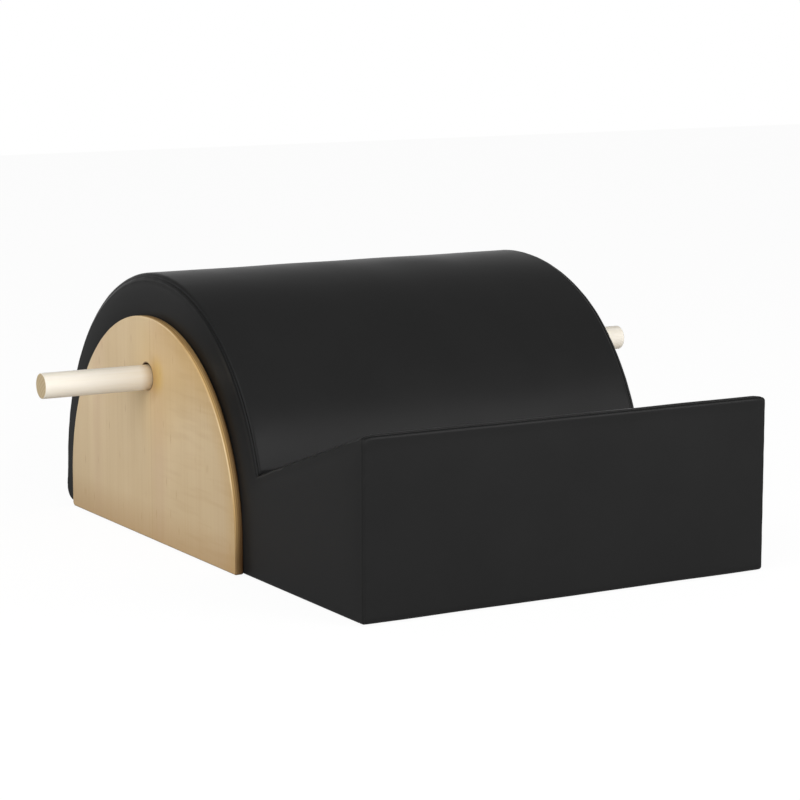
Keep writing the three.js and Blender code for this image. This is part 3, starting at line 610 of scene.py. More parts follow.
def side_panel(name, side):
    """Rings from the seam inwards: the shoulder, the rounding and the flat face. Upper stations
    follow the outline, lower ones the base's edge with its hem. Each ray runs from the rounding to
    the same share of a curve hidden behind the plate, and on to the bar's hole."""
    runs = np.concatenate([np.linspace(run_at(piece), run_at(piece + 1), steps)[:-1]
                           for piece, steps in PANEL_STEPS] + [[run_at(AT_BACK_HEM)]])
    stretch = stretch_at(runs)
    base_y = np.linspace(BACK - BACK_HEEL, FRONT + FRONT_HEEL, BASE_STEPS)[1:-1]
    on_base = np.arange(len(runs) + len(base_y)) >= len(runs)
    sewn = np.where(on_base, 0.0, 1.0)
    run = np.concatenate([runs, runs[-1] + BACK - BACK_HEEL - base_y])
    roll = np.concatenate([roll_radius(stretch, side), np.full(len(base_y), BASE_ROLL)])
    hem = np.clip(np.minimum(base_y - base_y.min(), (base_y.max() - base_y) * HEM / BACK_HEM), 0, HEM)
    edge = np.concatenate([seam_width(stretch, side), HALF_WIDTH - BASE_ROLL - hem])

    # Distances across, from the sewn edge over a knee half-way to where the rounding ends
    half_turn = HALF_WIDTH - roll + roll * math.pi / 2
    beyond = edge + SEAM_GAP + PANEL_EDGE[-1]
    knee = np.maximum(np.where(on_base, HALF_WIDTH - BASE_ROLL, 0.5 * (edge + half_turn)), beyond)
    across = [edge + SEAM_GAP + gap for gap in PANEL_EDGE]
    across += [np.where(share <= 0.5, beyond + (knee - beyond) * share * 2,
                        knee + (half_turn - knee) * (share * 2 - 1))
               for share in np.linspace(0, 1, KNEE_STEPS + 1)[1:]]
    across = np.array(across)
    gap = across - edge - SEAM_GAP
    seam_drop = side_seam_drop(np.concatenate([stretch, np.zeros(len(base_y))]))
    drawn_in = seam_valley(gap, VALLEY_PANEL, PANEL_DROP * seam_drop)
    lift = (pucker(run, gap) - drawn_in - corner_dent(run, gap)) * sewn
    lift[0] -= SEAM_DEEP * sewn
    x, depth = section(across, roll, lift)
    y, z = outline(np.concatenate([stretch, np.full(len(base_y), AT_FRONT_HEM + 0.5)]), depth)
    y = np.where(on_base, np.concatenate([np.zeros(len(runs)), base_y]), y)
    z = np.where(on_base, UNDER + depth, z)

    # Rays over the flat face, to the hidden curve and on to the hole's rim
    inner_y, inner_z = hidden_curve(runs, PLATE_RADIUS - TUCK, UNDER + HIDDEN_FOOT)
    inner_y = np.concatenate([inner_y, np.linspace(inner_y[-1], inner_y[0], len(base_y) + 2)[1:-1]])
    inner_z = np.concatenate([inner_z, np.full(len(base_y), UNDER + HIDDEN_FOOT)])
    toward = np.arctan2(inner_z - BAR_HOLE_Z, inner_y - BAR_HOLE_Y)
    rim_y, rim_z = arc_point(BAR_HOLE_Y, BAR_HOLE_Z, TUBE_HOLE, toward)
    outward, inward = OUTWARD[:, None], INWARD[:, None]
    rays_y = np.vstack([y[-1] + (inner_y - y[-1]) * outward, inner_y + (rim_y - inner_y) * inward])
    rays_z = np.vstack([z[-1] + (inner_z - z[-1]) * outward, inner_z + (rim_z - inner_z) * inward])
    x = np.vstack([x, HALF_WIDTH - FACE_SUNK + side_swell(rays_y, rays_z)]) * side
    y, z = np.vstack([y, rays_y]), np.vstack([z, rays_z])
    return surface(name, np.stack([x, y, z], axis=-1), around=True)


for side, word in ((-1, "left"), (1, "right")):
    upholster(side_panel(f"{word}_side_upholstery", side), f"{word}_side_cover")

# Foam. Bent and flat pads of polyurethane foam, sawn from block, lie under the vinyl. They are glued
# to the carcass. The sides have thin sheets with a hole for the bar.

# Cut polyurethane foam is pale yellow and quite dull, and shows open pores about a millimetre wide
FOAM_YELLOW = "#cdbb8a"
FOAM_PORE = "#a8935f"
PORE_MM = 1.1
foam = bpy.data.materials.new("cut polyurethane foam")
tree = emptied(foam)
place = add_node(tree, "TexCoord").outputs["Object"]
pores = add_node(tree, "TexVoronoi", {"Vector": place, "Scale": 1000 / PORE_MM}).outputs["Distance"]
pore_tint = add_node(tree, "Mix", {0: pores, 6: linear(FOAM_PORE), 7: linear(FOAM_YELLOW)}, data_type="RGBA")
pore_bump = add_node(tree, "Bump", {"Height": pores, "Strength": 0.5, "Distance": 0.0006})
foam_shader = add_node(tree, "BsdfPrincipled", {
    "Base Color": pore_tint.outputs[2], "Roughness": 0.95, "Specular IOR Level": 0.2,
    "Normal": pore_bump.outputs[0]})
add_node(tree, "OutputMaterial", {0: foam_shader.outputs[0]})


def settle_foam(piece, node):
    """Gives a foam pad its material, hides the CAD solid it stands for and hangs it on the carcass."""
    settle(piece, foam, node)


SECTION_POINTS = 48


def foam_pad(name, low, high, top, bottom, half, corner, steps):
    """A closed pad between two distances along the outline: a rounded section, half wide each side
    and between two depths, carried along, and drawn to a line at each end."""
    angle = np.linspace(0, 2 * math.pi, SECTION_POINTS, endpoint=False) + math.pi / SECTION_POINTS
    middle, thick = 0.5 * (top + bottom), 0.5 * (bottom - top)
    x = np.sign(np.cos(angle)) * (half - corner) + corner * np.cos(angle)
    depth = middle - np.sign(np.sin(angle)) * (thick - corner) - corner * np.sin(angle)
    runs = np.concatenate([[low], np.linspace(low, high, steps), [high]])
    squeeze = np.ones(len(runs))
    squeeze[[0, -1]] = 0.0
    y, z = outline(stretch_at(runs)[:, None], middle + (depth - middle) * squeeze[:, None])
    return surface(name, np.stack([np.broadcast_to(x, y.shape), y, z], axis=-1), around=True)


# Each pad's solid, its two ends along the outline, the depths of its faces, half its width, the
# radius of its corners and its rows
for place_name, low, high, top, bottom, half, corner, steps in (
        ("barrel_foam", run_at(AT_ARCH) + 24, run_at(AT_BACK_HEEL), 4.2, 23.2, 283, 6, 120),
        ("step_foam", run_at(AT_SLOPE) + 10, run_at(AT_ARCH) - 7, 3.4, 23.2, 283, 6, 40),
        ("front_foam", run_at(AT_FACE) + 4, run_at(AT_LIP) - 2, 3.2, 11.4, 291, 3, 30)):
    settle_foam(foam_pad(f"{place_name}_pad", low, high, top, bottom, half, corner, steps), place_name)

SHEET_INSET, SHEET_FACE, SHEET_BACK = 16.0, HALF_WIDTH - 2.6, HALF_WIDTH - 9.4
SHEET_START = 8.0
SHEET_CLEARANCE = 0.4
WAIST_TUCK, WAIST_FOOT = 40.0, 30.0
# Stations of a sheet up to the valley, over the arch to the back heel, and along the base
SHEET_STEPS = (90, 110, 60)


def ringed(name, rings, side):
    """A closed solid on one side of the body, joined through rings of a distance out and y, z arrays."""
    grid = np.stack([np.stack([np.full(len(y), out * side), y, z], axis=-1) for out, y, z in rings])
    return surface(name, grid, around=True, through=True)


def side_foam_pad(name, side):
    """A closed sheet in the side's outline, 16 mm inside it, with the bar's hole: rings outer edge,
    a waist half-way and the hole, on the face and then on the back."""
    upper = np.linspace(run_at(AT_FACE) + SHEET_START, run_at(AT_ARCH), SHEET_STEPS[0])[:-1]
    runs = np.concatenate([upper, np.linspace(run_at(AT_ARCH), run_at(AT_BACK_HEEL), SHEET_STEPS[1])])
    y, z = outline(stretch_at(runs), SHEET_INSET)
    base = np.linspace(y[-1], y[0], SHEET_STEPS[2])[1:-1]
    waist_y, waist_z = hidden_curve(runs, PLATE_RADIUS - WAIST_TUCK, UNDER + WAIST_FOOT)
    waist_y = np.concatenate([waist_y, np.linspace(waist_y[-1], waist_y[0], len(base) + 2)[1:-1]])
    waist_z = np.concatenate([waist_z, np.full(len(base), UNDER + WAIST_FOOT)])
    y, z = np.concatenate([y, base]), np.concatenate([z, np.full(len(base), UNDER + SHEET_INSET)])
    toward = np.arctan2(waist_z - BAR_HOLE_Z, waist_y - BAR_HOLE_Y)
    rim_y, rim_z = arc_point(BAR_HOLE_Y, BAR_HOLE_Z, TUBE_HOLE + SHEET_CLEARANCE, toward)
    rings = [(SHEET_FACE, y, z), (SHEET_FACE, waist_y, waist_z), (SHEET_FACE, rim_y, rim_z),
             (SHEET_BACK, rim_y, rim_z), (SHEET_BACK, waist_y, waist_z), (SHEET_BACK, y, z)]
    return ringed(name, rings, side)


for side, word in ((-1, "left"), (1, "right")):
    settle_foam(side_foam_pad(f"{word}_side_foam_pad", side), f"{word}_side_foam")

# End plates. Half-round plates of 12 mm birch plywood, sawn, sanded and lacquered clear, with a
# small round on every arris. Each is screwed on through the end rib from inside.
PLATE_BACK, PLATE_FACE = 300.3, 312.3
FRONT_CORNER, BACK_CORNER, ARRIS, BORE, RIM_ROUND = 2.6, 6.0, 2.0, 18.6, 1.0

# Birch plywood under clear lacquer: pale warm wood with a satin face, fine upright fibres, a little
# level flame and small dark dashes. Its edge shows the layers, and painted shade makes it browner
# towards the vinyl.
BIRCH_LIGHT = "#f0d8b1"
BIRCH_WARM = "#dcbf92"
BIRCH_PINK = "#e2c2a0"
BIRCH_DEEP = "#b98f5a"
BIRCH_LOW = "#ceb58c"
# Honey is painted shade of the bar on the face beside its hole
BIRCH_HONEY = "#dcb55e"
BIRCH_AMBER = "#cba15a"
# Dark brown of the cutter's burn in the hole, also used as painted shade on the edge and the rim
BIRCH_BURN_AND_SHADE = "#4a2f17"
PLY_LIGHT = "#e6bf80"
PLY_DARK = "#96693a"
# Pale veneer on the front arris, brightened as a painted highlight
ARRIS_PALE_AND_HIGHLIGHT = "#f4dcae"
LAYER_MM = 1.333
STRIP_MM = 187.0
STRIP_JOINT_Y = 120.0
FIBRE_MM, RIPPLE_MM, DASH_MM, STREAK_MM = 4.5, 9.0, 13.0, 3.0
BAND_MM, BLOTCH_MM, CLOUD_MM = 60.0, 95.0, 110.0

birch = bpy.data.materials.new("lacquered birch plywood")
tree = emptied(birch)
place = add_node(tree, "TexCoord").outputs["Object"]
split = add_node(tree, "SeparateXYZ", {0: place})
along, up = split.outputs["Y"], split.outputs["Z"]
# Fibres run up and down: a noise drawn out 50 to 1 along Z, and broader bands 10 to 1
fibre_place = add_node(tree, "Mapping", {"Vector": place, "Scale": (1.0, 1.0, 0.02)})
fibres = add_node(tree, "TexNoise", {
    "Vector": fibre_place.outputs[0], "Scale": 1000 / FIBRE_MM, "Detail": 3.0,
    "Roughness": 0.6}).outputs["Fac"]
band_place = add_node(tree, "Mapping", {"Vector": place, "Scale": (1.0, 1.0, 0.10)})
bands = add_node(tree, "TexNoise", {
    "Vector": band_place.outputs[0], "Scale": 1000 / BAND_MM, "Detail": 1.5, "Roughness": 0.5}).outputs["Fac"]
clouds = add_node(tree, "TexNoise", {"Vector": place, "Scale": 1000 / CLOUD_MM, "Detail": 2.0}).outputs["Fac"]
blotches = add_node(tree, "TexNoise", {
    "Vector": band_place.outputs[0], "Scale": 1000 / BLOTCH_MM, "Detail": 1.0, "W": 3.0},
    noise_dimensions="4D").outputs["Fac"]
# The face veneer is joined from strips, each a slightly different tone. Every second joint shows as
# a fine line.
strip_run = add_node(tree, "Math", {0: along, 1: STRIP_JOINT_Y / 1000}, operation="SUBTRACT").outputs[0]
strip_at = add_node(tree, "Math", {0: strip_run, 1: 1000 / STRIP_MM}, operation="MULTIPLY").outputs[0]
strip_number = add_node(tree, "Math", {0: strip_at}, operation="FLOOR").outputs[0]
strip_tone = add_node(tree, "TexWhiteNoise", {"W": strip_number}, noise_dimensions="1D").outputs["Value"]
strip_inside = add_node(tree, "Math", {0: strip_at, 1: 1.0}, operation="PINGPONG").outputs[0]
# Flame is a ripple drawn out level, 10 to 1. The dashes are cells drawn out upright, 5 to 1.
ripple_place = add_node(tree, "Mapping", {"Vector": place, "Scale": (1.0, 0.10, 1.0)})
ripple = add_node(tree, "TexNoise", {
    "Vector": ripple_place.outputs[0], "Scale": 1000 / RIPPLE_MM, "Detail": 1.0}).outputs["Fac"]
dash_place = add_node(tree, "Mapping", {"Vector": place, "Scale": (1.0, 1.0, 0.2)})
dashes = add_node(tree, "TexVoronoi", {
    "Vector": dash_place.outputs[0], "Scale": 1000 / DASH_MM}).outputs["Distance"]
# Distances from four places on the face: the honey tone beside the hole, which is squashed a little,
# the bar's hole, the centre of the plate's arc and the amber haze before the bar
far = {}
for spot, (spot_y, spot_z, squash) in {
        "honey": (98.0, 233.75, 0.8), "hole": (BAR_HOLE_Y, BAR_HOLE_Z, 1.0),
        "arc": (ARCH_Y, PLATE_Z, 1.0), "amber": (0.0, 258.0, 1.0)}.items():
    centred = add_node(tree, "Mapping", {
        "Vector": place, "Location": (0, -spot_y / 1000, -squash * spot_z / 1000),
        "Scale": (0.0, 1.0, squash)})
    far[spot] = add_node(tree, "VectorMath", {0: centred.outputs[0]}, operation="LENGTH").outputs["Value"]


def tone_over(tree, colour, tone, source, span, shares, within=(), easing="LINEAR"):
    """A colour with a tone mixed over it. The share goes from the first of shares to the second while
    the source, a socket, crosses the span, and is multiplied by the sockets within."""
    share = add_node(tree, "MapRange", {
        0: source, 1: span[0], 2: span[1], 3: shares[0], 4: shares[1]}, interpolation_type=easing).outputs[0]
    for limit in within:
        share = add_node(tree, "Math", {0: share, 1: limit}, operation="MULTIPLY").outputs[0]
    return add_node(tree, "Mix", {0: share, 6: colour, 7: linear(tone)}, data_type="RGBA").outputs[2]


# Limits along Y, which keep the flame, the painted shade by the hole and the amber by the arc to the front
by_front, by_rim, by_arc = [
    add_node(tree, "MapRange", {0: along, 1: none_y, 2: full_y}).outputs[0]
    for none_y, full_y in ((0.12, 0.02), (0.128, 0.108), (0.12, 0.07))]
face = linear(BIRCH_LIGHT)
for tone, source, span, shares, within, easing in (
        (BIRCH_WARM, bands, (0.4, 0.65), (0.0, 0.4), (), "LINEAR"),
        (BIRCH_WARM, strip_tone, (0.0, 1.0), (0.0, 0.35), (), "LINEAR"),
        (BIRCH_PINK, blotches, (0.47, 0.6), (0.0, 0.7), (), "LINEAR"),
        (BIRCH_WARM, clouds, (0.5, 0.75), (0.0, 0.4), (), "LINEAR"),
        # The sheet darkens a little towards its front, and with painted shade towards its foot
        (BIRCH_LOW, up, (0.0, 0.17), (0.5, 0.0), (), "LINEAR"),
        (BIRCH_LOW, along, (-0.13, 0.22), (0.66, 0.0), (), "LINEAR"),
        # Honey and amber round the hole, and amber along the front of the arc. The honey is painted shade of
        # the bar
        (BIRCH_HONEY, far["honey"], (0.015, 0.110), (0.3, 0.0), (), "SMOOTHSTEP"),
        (BIRCH_HONEY, far["honey"], (0.006, 0.028), (0.65, 0.0), (), "SMOOTHSTEP"),
        (BIRCH_AMBER, far["amber"], (0.005, 0.100), (0.45, 0.0), (), "SMOOTHSTEP"),
        (BIRCH_AMBER, far["arc"], ((PLATE_RADIUS - 32) / 1000, (PLATE_RADIUS - 2) / 1000), (0.0, 0.38),
         (by_arc,), "LINEAR"),
        # Painted shade: a deeper tone at the very foot, and close before the hole
        (BIRCH_DEEP, up, (0.005, 0.055), (0.45, 0.0), (), "LINEAR"),
        (BIRCH_DEEP, far["hole"], ((BORE + 2) / 1000, (BORE + 23) / 1000), (0.65, 0.0), (by_rim,), "LINEAR"),
        # The grain over all of them
        (BIRCH_DEEP, fibres, (0.45, 0.8), (0.0, 0.11), (), "LINEAR"),
        (BIRCH_DEEP, ripple, (0.5, 0.72), (0.0, 0.16), (by_front,), "LINEAR"),
        (BIRCH_DEEP, dashes, (0.05, 0.13), (0.35, 0.0), (), "LINEAR"),
        (BIRCH_DEEP, strip_inside, (0.0, 0.012), (0.22, 0.0), (), "LINEAR")):
    face = tone_over(tree, face, tone, source, span, shares, within, easing)

# Edge: layers of 1.3 mm, pale and dark by turns, with saw streaks. Painted shade browns it by the vinyl
# and at the foot. It is pale on the front arris, where the face veneer is rounded over, with a painted
# highlight on parts of that arris.
across_x = add_node(tree, "Math", {0: split.outputs["X"]}, operation="ABSOLUTE").outputs[0]
from_back = add_node(tree, "Math", {0: across_x, 1: PLATE_BACK / 1000}, operation="SUBTRACT").outputs[0]
layer = add_node(tree, "Math", {0: from_back, 1: 1000 / LAYER_MM}, operation="MULTIPLY").outputs[0]
layer_turn = add_node(tree, "Math", {0: layer, 1: 1.0}, operation="PINGPONG").outputs[0]
edge_place = add_node(tree, "Mapping", {"Vector": place, "Scale": (1.0, 0.04, 0.04)})
edge_streaks = add_node(tree, "TexNoise", {
    "Vector": edge_place.outputs[0], "Scale": 1000 / STREAK_MM, "Detail": 2.0}).outputs["Fac"]
# The painted shade by the vinyl is weaker towards the top of the edge
below_top = add_node(tree, "MapRange", {0: up, 1: 0.2, 2: 0.29, 3: 1.0, 4: 0.55}).outputs[0]
# Heights of the arris's painted highlight: full from low down to mid-height and over the top, faint between
arris_foot = add_node(tree, "MapRange", {0: up, 1: 0.095, 2: 0.115}).outputs[0]
arris_head = add_node(tree, "MapRange", {0: up, 1: 0.19, 2: 0.24, 3: 1.0, 4: 0.25}).outputs[0]
arris_top = add_node(tree, "MapRange", {0: up, 1: 0.285, 2: 0.3}).outputs[0]
arris_highlight_spans = add_node(tree, "Math", {0: arris_head, 1: arris_top}, operation="MAXIMUM").outputs[0]
edge = linear(PLY_LIGHT)
for tone, source, span, shares, within in (
        (PLY_DARK, layer_turn, (0.35, 0.65), (0.0, 0.45), ()),
        (PLY_DARK, edge_streaks, (0.45, 0.7), (0.0, 0.5), ()),
        (BIRCH_BURN_AND_SHADE, from_back, (0.002, 0.0095), (0.9, 0.0), (below_top,)),
        (ARRIS_PALE_AND_HIGHLIGHT, across_x, ((PLATE_FACE - 1.3) / 1000, (PLATE_FACE - 1.0) / 1000), (0.0, 0.8),
         (arris_foot, arris_highlight_spans)),
        (BIRCH_BURN_AND_SHADE, up, (0.02, 0.10), (0.7, 0.0), ())):
    edge = tone_over(tree, edge, tone, source, span, shares, within)
on_face = add_node(tree, "MapRange", {
    0: across_x, 1: (PLATE_FACE - 0.35) / 1000, 2: (PLATE_FACE - 0.1) / 1000}).outputs[0]
wood = add_node(tree, "Mix", {0: on_face, 6: edge, 7: face}, data_type="RGBA").outputs[2]
# The hole's rim is brown from the cutter, and painted shade of the gap above the bar darkens it, except at
# its foot
rim_top = add_node(tree, "MapRange", {0: up, 1: 0.206, 2: 0.222}).outputs[0]
rim_burn_and_shade = ((BORE + 0.8) / 1000, (BORE + 2.6) / 1000)
wood = tone_over(tree, wood, BIRCH_BURN_AND_SHADE, far["hole"], rim_burn_and_shade, (0.95, 0.0), (rim_top,))
wood_rough = add_node(tree, "MapRange", {0: fibres, 1: 0.3, 2: 0.7, 3: 0.40, 4: 0.50}).outputs[0]
wood_bump = add_node(tree, "Bump", {"Height": fibres, "Strength": 0.05, "Distance": 0.0004})
birch_shader = add_node(tree, "BsdfPrincipled", {
    "Base Color": wood, "Roughness": wood_rough, "Specular IOR Level": 0.35, "Normal": wood_bump.outputs[0]})
add_node(tree, "OutputMaterial", {0: birch_shader.outputs[0]})

CORNER_POINTS, SIDE_POINTS, ROUND_POINTS, FOOT_POINTS = 9, 4, 241, 88


def plate_outline(inset):
    """The plate's edge as y, z arrays, an inset inside the true one: foot corner, straight side,
    half circle, straight side and foot corner, then the foot, at even steps."""
    left, right = ARCH_Y - PLATE_RADIUS, ARCH_Y + PLATE_RADIUS
    start = arc_point(left + FRONT_CORNER, UNDER + FRONT_CORNER, FRONT_CORNER - inset,
                      np.linspace(-0.5 * math.pi, -math.pi, CORNER_POINTS))
    front_z = np.linspace(UNDER + FRONT_CORNER, PLATE_Z, SIDE_POINTS + 2)[1:-1]
    top = arc_point(ARCH_Y, PLATE_Z, PLATE_RADIUS - inset, np.linspace(math.pi, 0, ROUND_POINTS))
    back_z = np.linspace(PLATE_Z, UNDER + BACK_CORNER, SIDE_POINTS + 2)[1:-1]
    end = arc_point(right - BACK_CORNER, UNDER + BACK_CORNER, BACK_CORNER - inset,
                    np.linspace(0, -0.5 * math.pi, CORNER_POINTS))
    foot_y = np.linspace(right - BACK_CORNER, left + FRONT_CORNER, FOOT_POINTS + 2)[1:-1]
    y = np.concatenate([start[0], np.full(SIDE_POINTS, left + inset), top[0],
                        np.full(SIDE_POINTS, right - inset), end[0], foot_y])
    z = np.concatenate([start[1], front_z, top[1], back_z, end[1], np.full(FOOT_POINTS, UNDER + inset)])
    return y, z


# Flat margin beside each rounding, and the small bevel at the back of the hole
MARGIN, HOLE_BEVEL = 0.4, 0.2


def end_plate(name, side):
    """Closed rings round the bar's hole: back arris, edge, front arris, face, rim, wall of the hole
    and back, with a quarter round of the arris's radius at each corner."""
    edge_y, edge_z = plate_outline(0.0)
    toward = np.arctan2(edge_z - BAR_HOLE_Z, edge_y - BAR_HOLE_Y)
    quarter = np.linspace(0, 0.5 * math.pi, 6)
    back_arris = [(PLATE_BACK + ARRIS * (1 - math.cos(a)), ARRIS * (1 - math.sin(a))) for a in quarter]
    front_arris = [(PLATE_FACE - ARRIS * (1 - math.sin(a)), ARRIS * (1 - math.cos(a))) for a in quarter]
    rings = [(out, *plate_outline(inset)) for out, inset in back_arris + front_arris]
    flat_y, flat_z = plate_outline(ARRIS + MARGIN)
    rings.append((PLATE_FACE, flat_y, flat_z))
    rim = BORE + RIM_ROUND
    rim_y, rim_z = arc_point(BAR_HOLE_Y, BAR_HOLE_Z, rim + MARGIN, toward)
    for share in (0.25, 0.5, 0.75, 0.9, 1.0):
        rings.append((PLATE_FACE, flat_y + (rim_y - flat_y) * share, flat_z + (rim_z - flat_z) * share))
    wall = [(PLATE_FACE - RIM_ROUND * (1 - math.cos(a)), rim - RIM_ROUND * math.sin(a))
            for a in np.linspace(0, 0.5 * math.pi, 4)]
    wall += [(PLATE_BACK + HOLE_BEVEL, BORE), (PLATE_BACK, BORE + HOLE_BEVEL)]
    rings += [(out, *arc_point(BAR_HOLE_Y, BAR_HOLE_Z, radius, toward)) for out, radius in wall]
    rings.append((PLATE_BACK, flat_y, flat_z))
    return ringed(name, rings, side)


for side, word in ((-1, "left"), (1, "right")):
    settle(end_plate(f"{word}_end_plate", side), birch, f"{word}_plate")

# Round bar. A 35 mm dowel of pale hardwood, turned, sanded and sealed, with rounded ends. It lies
# loose in the holes of both plates and can be pushed through.
BAR_RADIUS, BAR_HALF, BAR_Z, BAR_ROUND = 17.5, 468.0, 227.0, 1.5
RUB_AND_SHADE_PLACE = 308.0
BAR_SIDES = 96

# Sealed hardwood is cream white and smooth, with a soft sheen, faint lines along it and tan end
# grain: year rings round a heart that lies beside the bar
DOWEL_PALE = "#faf4e8"
DOWEL_LINE = "#f0e6d0"
END_TAN = "#d0bb94"
END_RING = "#b79c70"
# Tan of the rub mark, which is also painted shade just outside the plates
RUB_AND_SHADE_TAN = "#c8ab7c"
LINE_MM, RING_MM = 4.0, 2.6
HEART_Y, HEART_Z = 95.0, 190.0

dowel = bpy.data.materials.new("sealed hardwood dowel")
tree = emptied(dowel)
place = add_node(tree, "TexCoord").outputs["Object"]
long_place = add_node(tree, "Mapping", {"Vector": place, "Scale": (0.02, 1.0, 1.0)})
lines = add_node(tree, "TexNoise", {
    "Vector": long_place.outputs[0], "Scale": 1000 / LINE_MM, "Detail": 3.0,
    "Roughness": 0.55}).outputs["Fac"]
length_colour = tone_over(tree, linear(DOWEL_PALE), DOWEL_LINE, lines, (0.4, 0.75), (0.0, 0.6))
ring_place = add_node(tree, "Mapping", {"Vector": place, "Location": (0, -HEART_Y / 1000, -HEART_Z / 1000)})
year_rings = add_node(tree, "TexWave", {
    "Vector": ring_place.outputs[0], "Scale": 1000 / RING_MM / (2 * math.pi), "Distortion": 1.5,
    "Detail": 2.0, "Detail Scale": 1.5}, wave_type="RINGS", rings_direction="X").outputs["Fac"]
end_colour = tone_over(tree, linear(END_TAN), END_RING, year_rings, (0.2, 1.0), (0.0, 0.4))
along_x = add_node(tree, "SeparateXYZ", {0: place}).outputs["X"]
bar_x = add_node(tree, "Math", {0: along_x}, operation="ABSOLUTE").outputs[0]
at_end = add_node(tree, "MapRange", {
    0: bar_x, 1: (BAR_HALF - 0.25) / 1000, 2: (BAR_HALF - 0.1) / 1000}).outputs[0]
# Where it lies in the plates' holes the bar has a slightly darker rub mark, which reaches past the plates'
# faces as painted shade
rub_and_shade_offset = add_node(tree, "Math", {0: bar_x, 1: RUB_AND_SHADE_PLACE / 1000}, operation="SUBTRACT").outputs[0]
rub_and_shade_distance = add_node(tree, "Math", {0: rub_and_shade_offset}, operation="ABSOLUTE").outputs[0]
rubbed_with_shade = tone_over(tree, length_colour, RUB_AND_SHADE_TAN, rub_and_shade_distance, (0.002, 0.022), (0.85, 0.0), easing="SMOOTHSTEP")
bar_colour = add_node(tree, "Mix", {0: at_end, 6: rubbed_with_shade, 7: end_colour}, data_type="RGBA").outputs[2]
line_bump = add_node(tree, "Bump", {"Height": lines, "Strength": 0.04, "Distance": 0.0003})
dowel_shader = add_node(tree, "BsdfPrincipled", {
    "Base Color": bar_colour, "Roughness": 0.46, "Specular IOR Level": 0.4, "Normal": line_bump.outputs[0]})
add_node(tree, "OutputMaterial", {0: dowel_shader.outputs[0]})


def turned(name, profile, centre_y, centre_z, sides, closed=False):
    """A profile of (x, radius) points turned about a level axis: y and z are the centre plus the
    radius times the cosine and sine of the turn."""
    profile = np.array(profile, float)
    turn = np.linspace(0, 2 * math.pi, sides, endpoint=False)
    y, z = arc_point(centre_y, centre_z, profile[:, 1:], turn)
    x = np.broadcast_to(profile[:, :1], y.shape)
    return surface(name, np.stack([x, y, z], axis=-1), around=True, through=closed)


# Half of the bar's profile: straight length, rounded end and, on the end, rings to its middle
round_over = [(BAR_HALF - BAR_ROUND * (1 - math.sin(a)), BAR_RADIUS - BAR_ROUND * (1 - math.cos(a)))
              for a in np.linspace(0, 0.5 * math.pi, 5)]
half_profile = [
    (0, BAR_RADIUS), (BAR_HALF - BAR_ROUND - 4, BAR_RADIUS), *round_over,
    (BAR_HALF, BAR_RADIUS - BAR_ROUND - MARGIN), (BAR_HALF, 8.0), (BAR_HALF, 0.0)]
other_half = [(-x, radius) for x, radius in half_profile[::-1]]
bar = turned("round_bar", other_half + half_profile[1:], BAR_HOLE_Y, BAR_Z, BAR_SIDES)
settle(bar, dowel, "bar", body="bar")

# Guide tube. A black plastic tube runs through the ribs from plate to plate and leads the bar. It is
# cut from stock and held by the ribs' holes.
TUBE_HALF, TUBE_OUTER = 300.0, 21.6
TUBE_SIDES = 64
TUBE_SHARP = math.radians(40)

# Extruded plastic, such as polypropylene: black, half gloss, with fine lines drawn along it by the die
TUBE_BLACK = "#141414"
TUBE_RUBBED = "#202020"
DRAWN_MM = 1.5
tube_plastic = bpy.data.materials.new("extruded black plastic")
tree = emptied(tube_plastic)
place = add_node(tree, "TexCoord").outputs["Object"]
drawn_place = add_node(tree, "Mapping", {"Vector": place, "Scale": (0.02, 1.0, 1.0)})
drawn = add_node(tree, "TexNoise", {
    "Vector": drawn_place.outputs[0], "Scale": 1000 / DRAWN_MM, "Detail": 2.0}).outputs["Fac"]
tube_colour = add_node(tree, "Mix", {
    0: drawn, 6: linear(TUBE_BLACK), 7: linear(TUBE_RUBBED)}, data_type="RGBA").outputs[2]
tube_bump = add_node(tree, "Bump", {"Height": drawn, "Strength": 0.1, "Distance": 0.0002})
tube_shader = add_node(tree, "BsdfPrincipled", {
    "Base Color": tube_colour, "Roughness": 0.4, "Normal": tube_bump.outputs[0]})
add_node(tree, "OutputMaterial", {0: tube_shader.outputs[0]})

tube_profile = [(-TUBE_HALF, BORE), (-TUBE_HALF, TUBE_OUTER), (TUBE_HALF, TUBE_OUTER), (TUBE_HALF, BORE)]
tube = turned("guide_tube", tube_profile, BAR_HOLE_Y, BAR_HOLE_Z, TUBE_SIDES, closed=True)
tube.data.set_sharp_from_angle(angle=TUBE_SHARP)
settle(tube, tube_plastic, "bar_tube")

# Carcass. Ribs, boards, skin and battens of softwood plywood, glued and screwed, never finished.
# Their solids stay, and so do the screws', each with its own finish.

# Sheathing plywood, sawn and left raw: dull tan with coarse darker grain lines that stand up a little
CARCASS_LIGHT = "#c9ab7d"
CARCASS_LINE = "#9c7445"
SAWN_MM = 5.0
carcass_ply = bpy.data.materials.new("unfinished sheathing plywood")
tree = emptied(carcass_ply)
place = add_node(tree, "TexCoord").outputs["Object"]
sawn_place = add_node(tree, "Mapping", {"Vector": place, "Scale": (1.0, 0.06, 1.0)})
sawn = add_node(tree, "TexNoise", {
    "Vector": sawn_place.outputs[0], "Scale": 1000 / SAWN_MM, "Detail": 5.0, "Roughness": 0.6}).outputs["Fac"]
carcass_colour = tone_over(tree, linear(CARCASS_LIGHT), CARCASS_LINE, sawn, (0.35, 0.7), (0.0, 1.0))
sawn_bump = add_node(tree, "Bump", {"Height": sawn, "Strength": 0.3, "Distance": 0.0005})
carcass_shader = add_node(tree, "BsdfPrincipled", {
    "Base Color": carcass_colour, "Roughness": 0.8, "Normal": sawn_bump.outputs[0]})
add_node(tree, "OutputMaterial", {0: carcass_shader.outputs[0]})

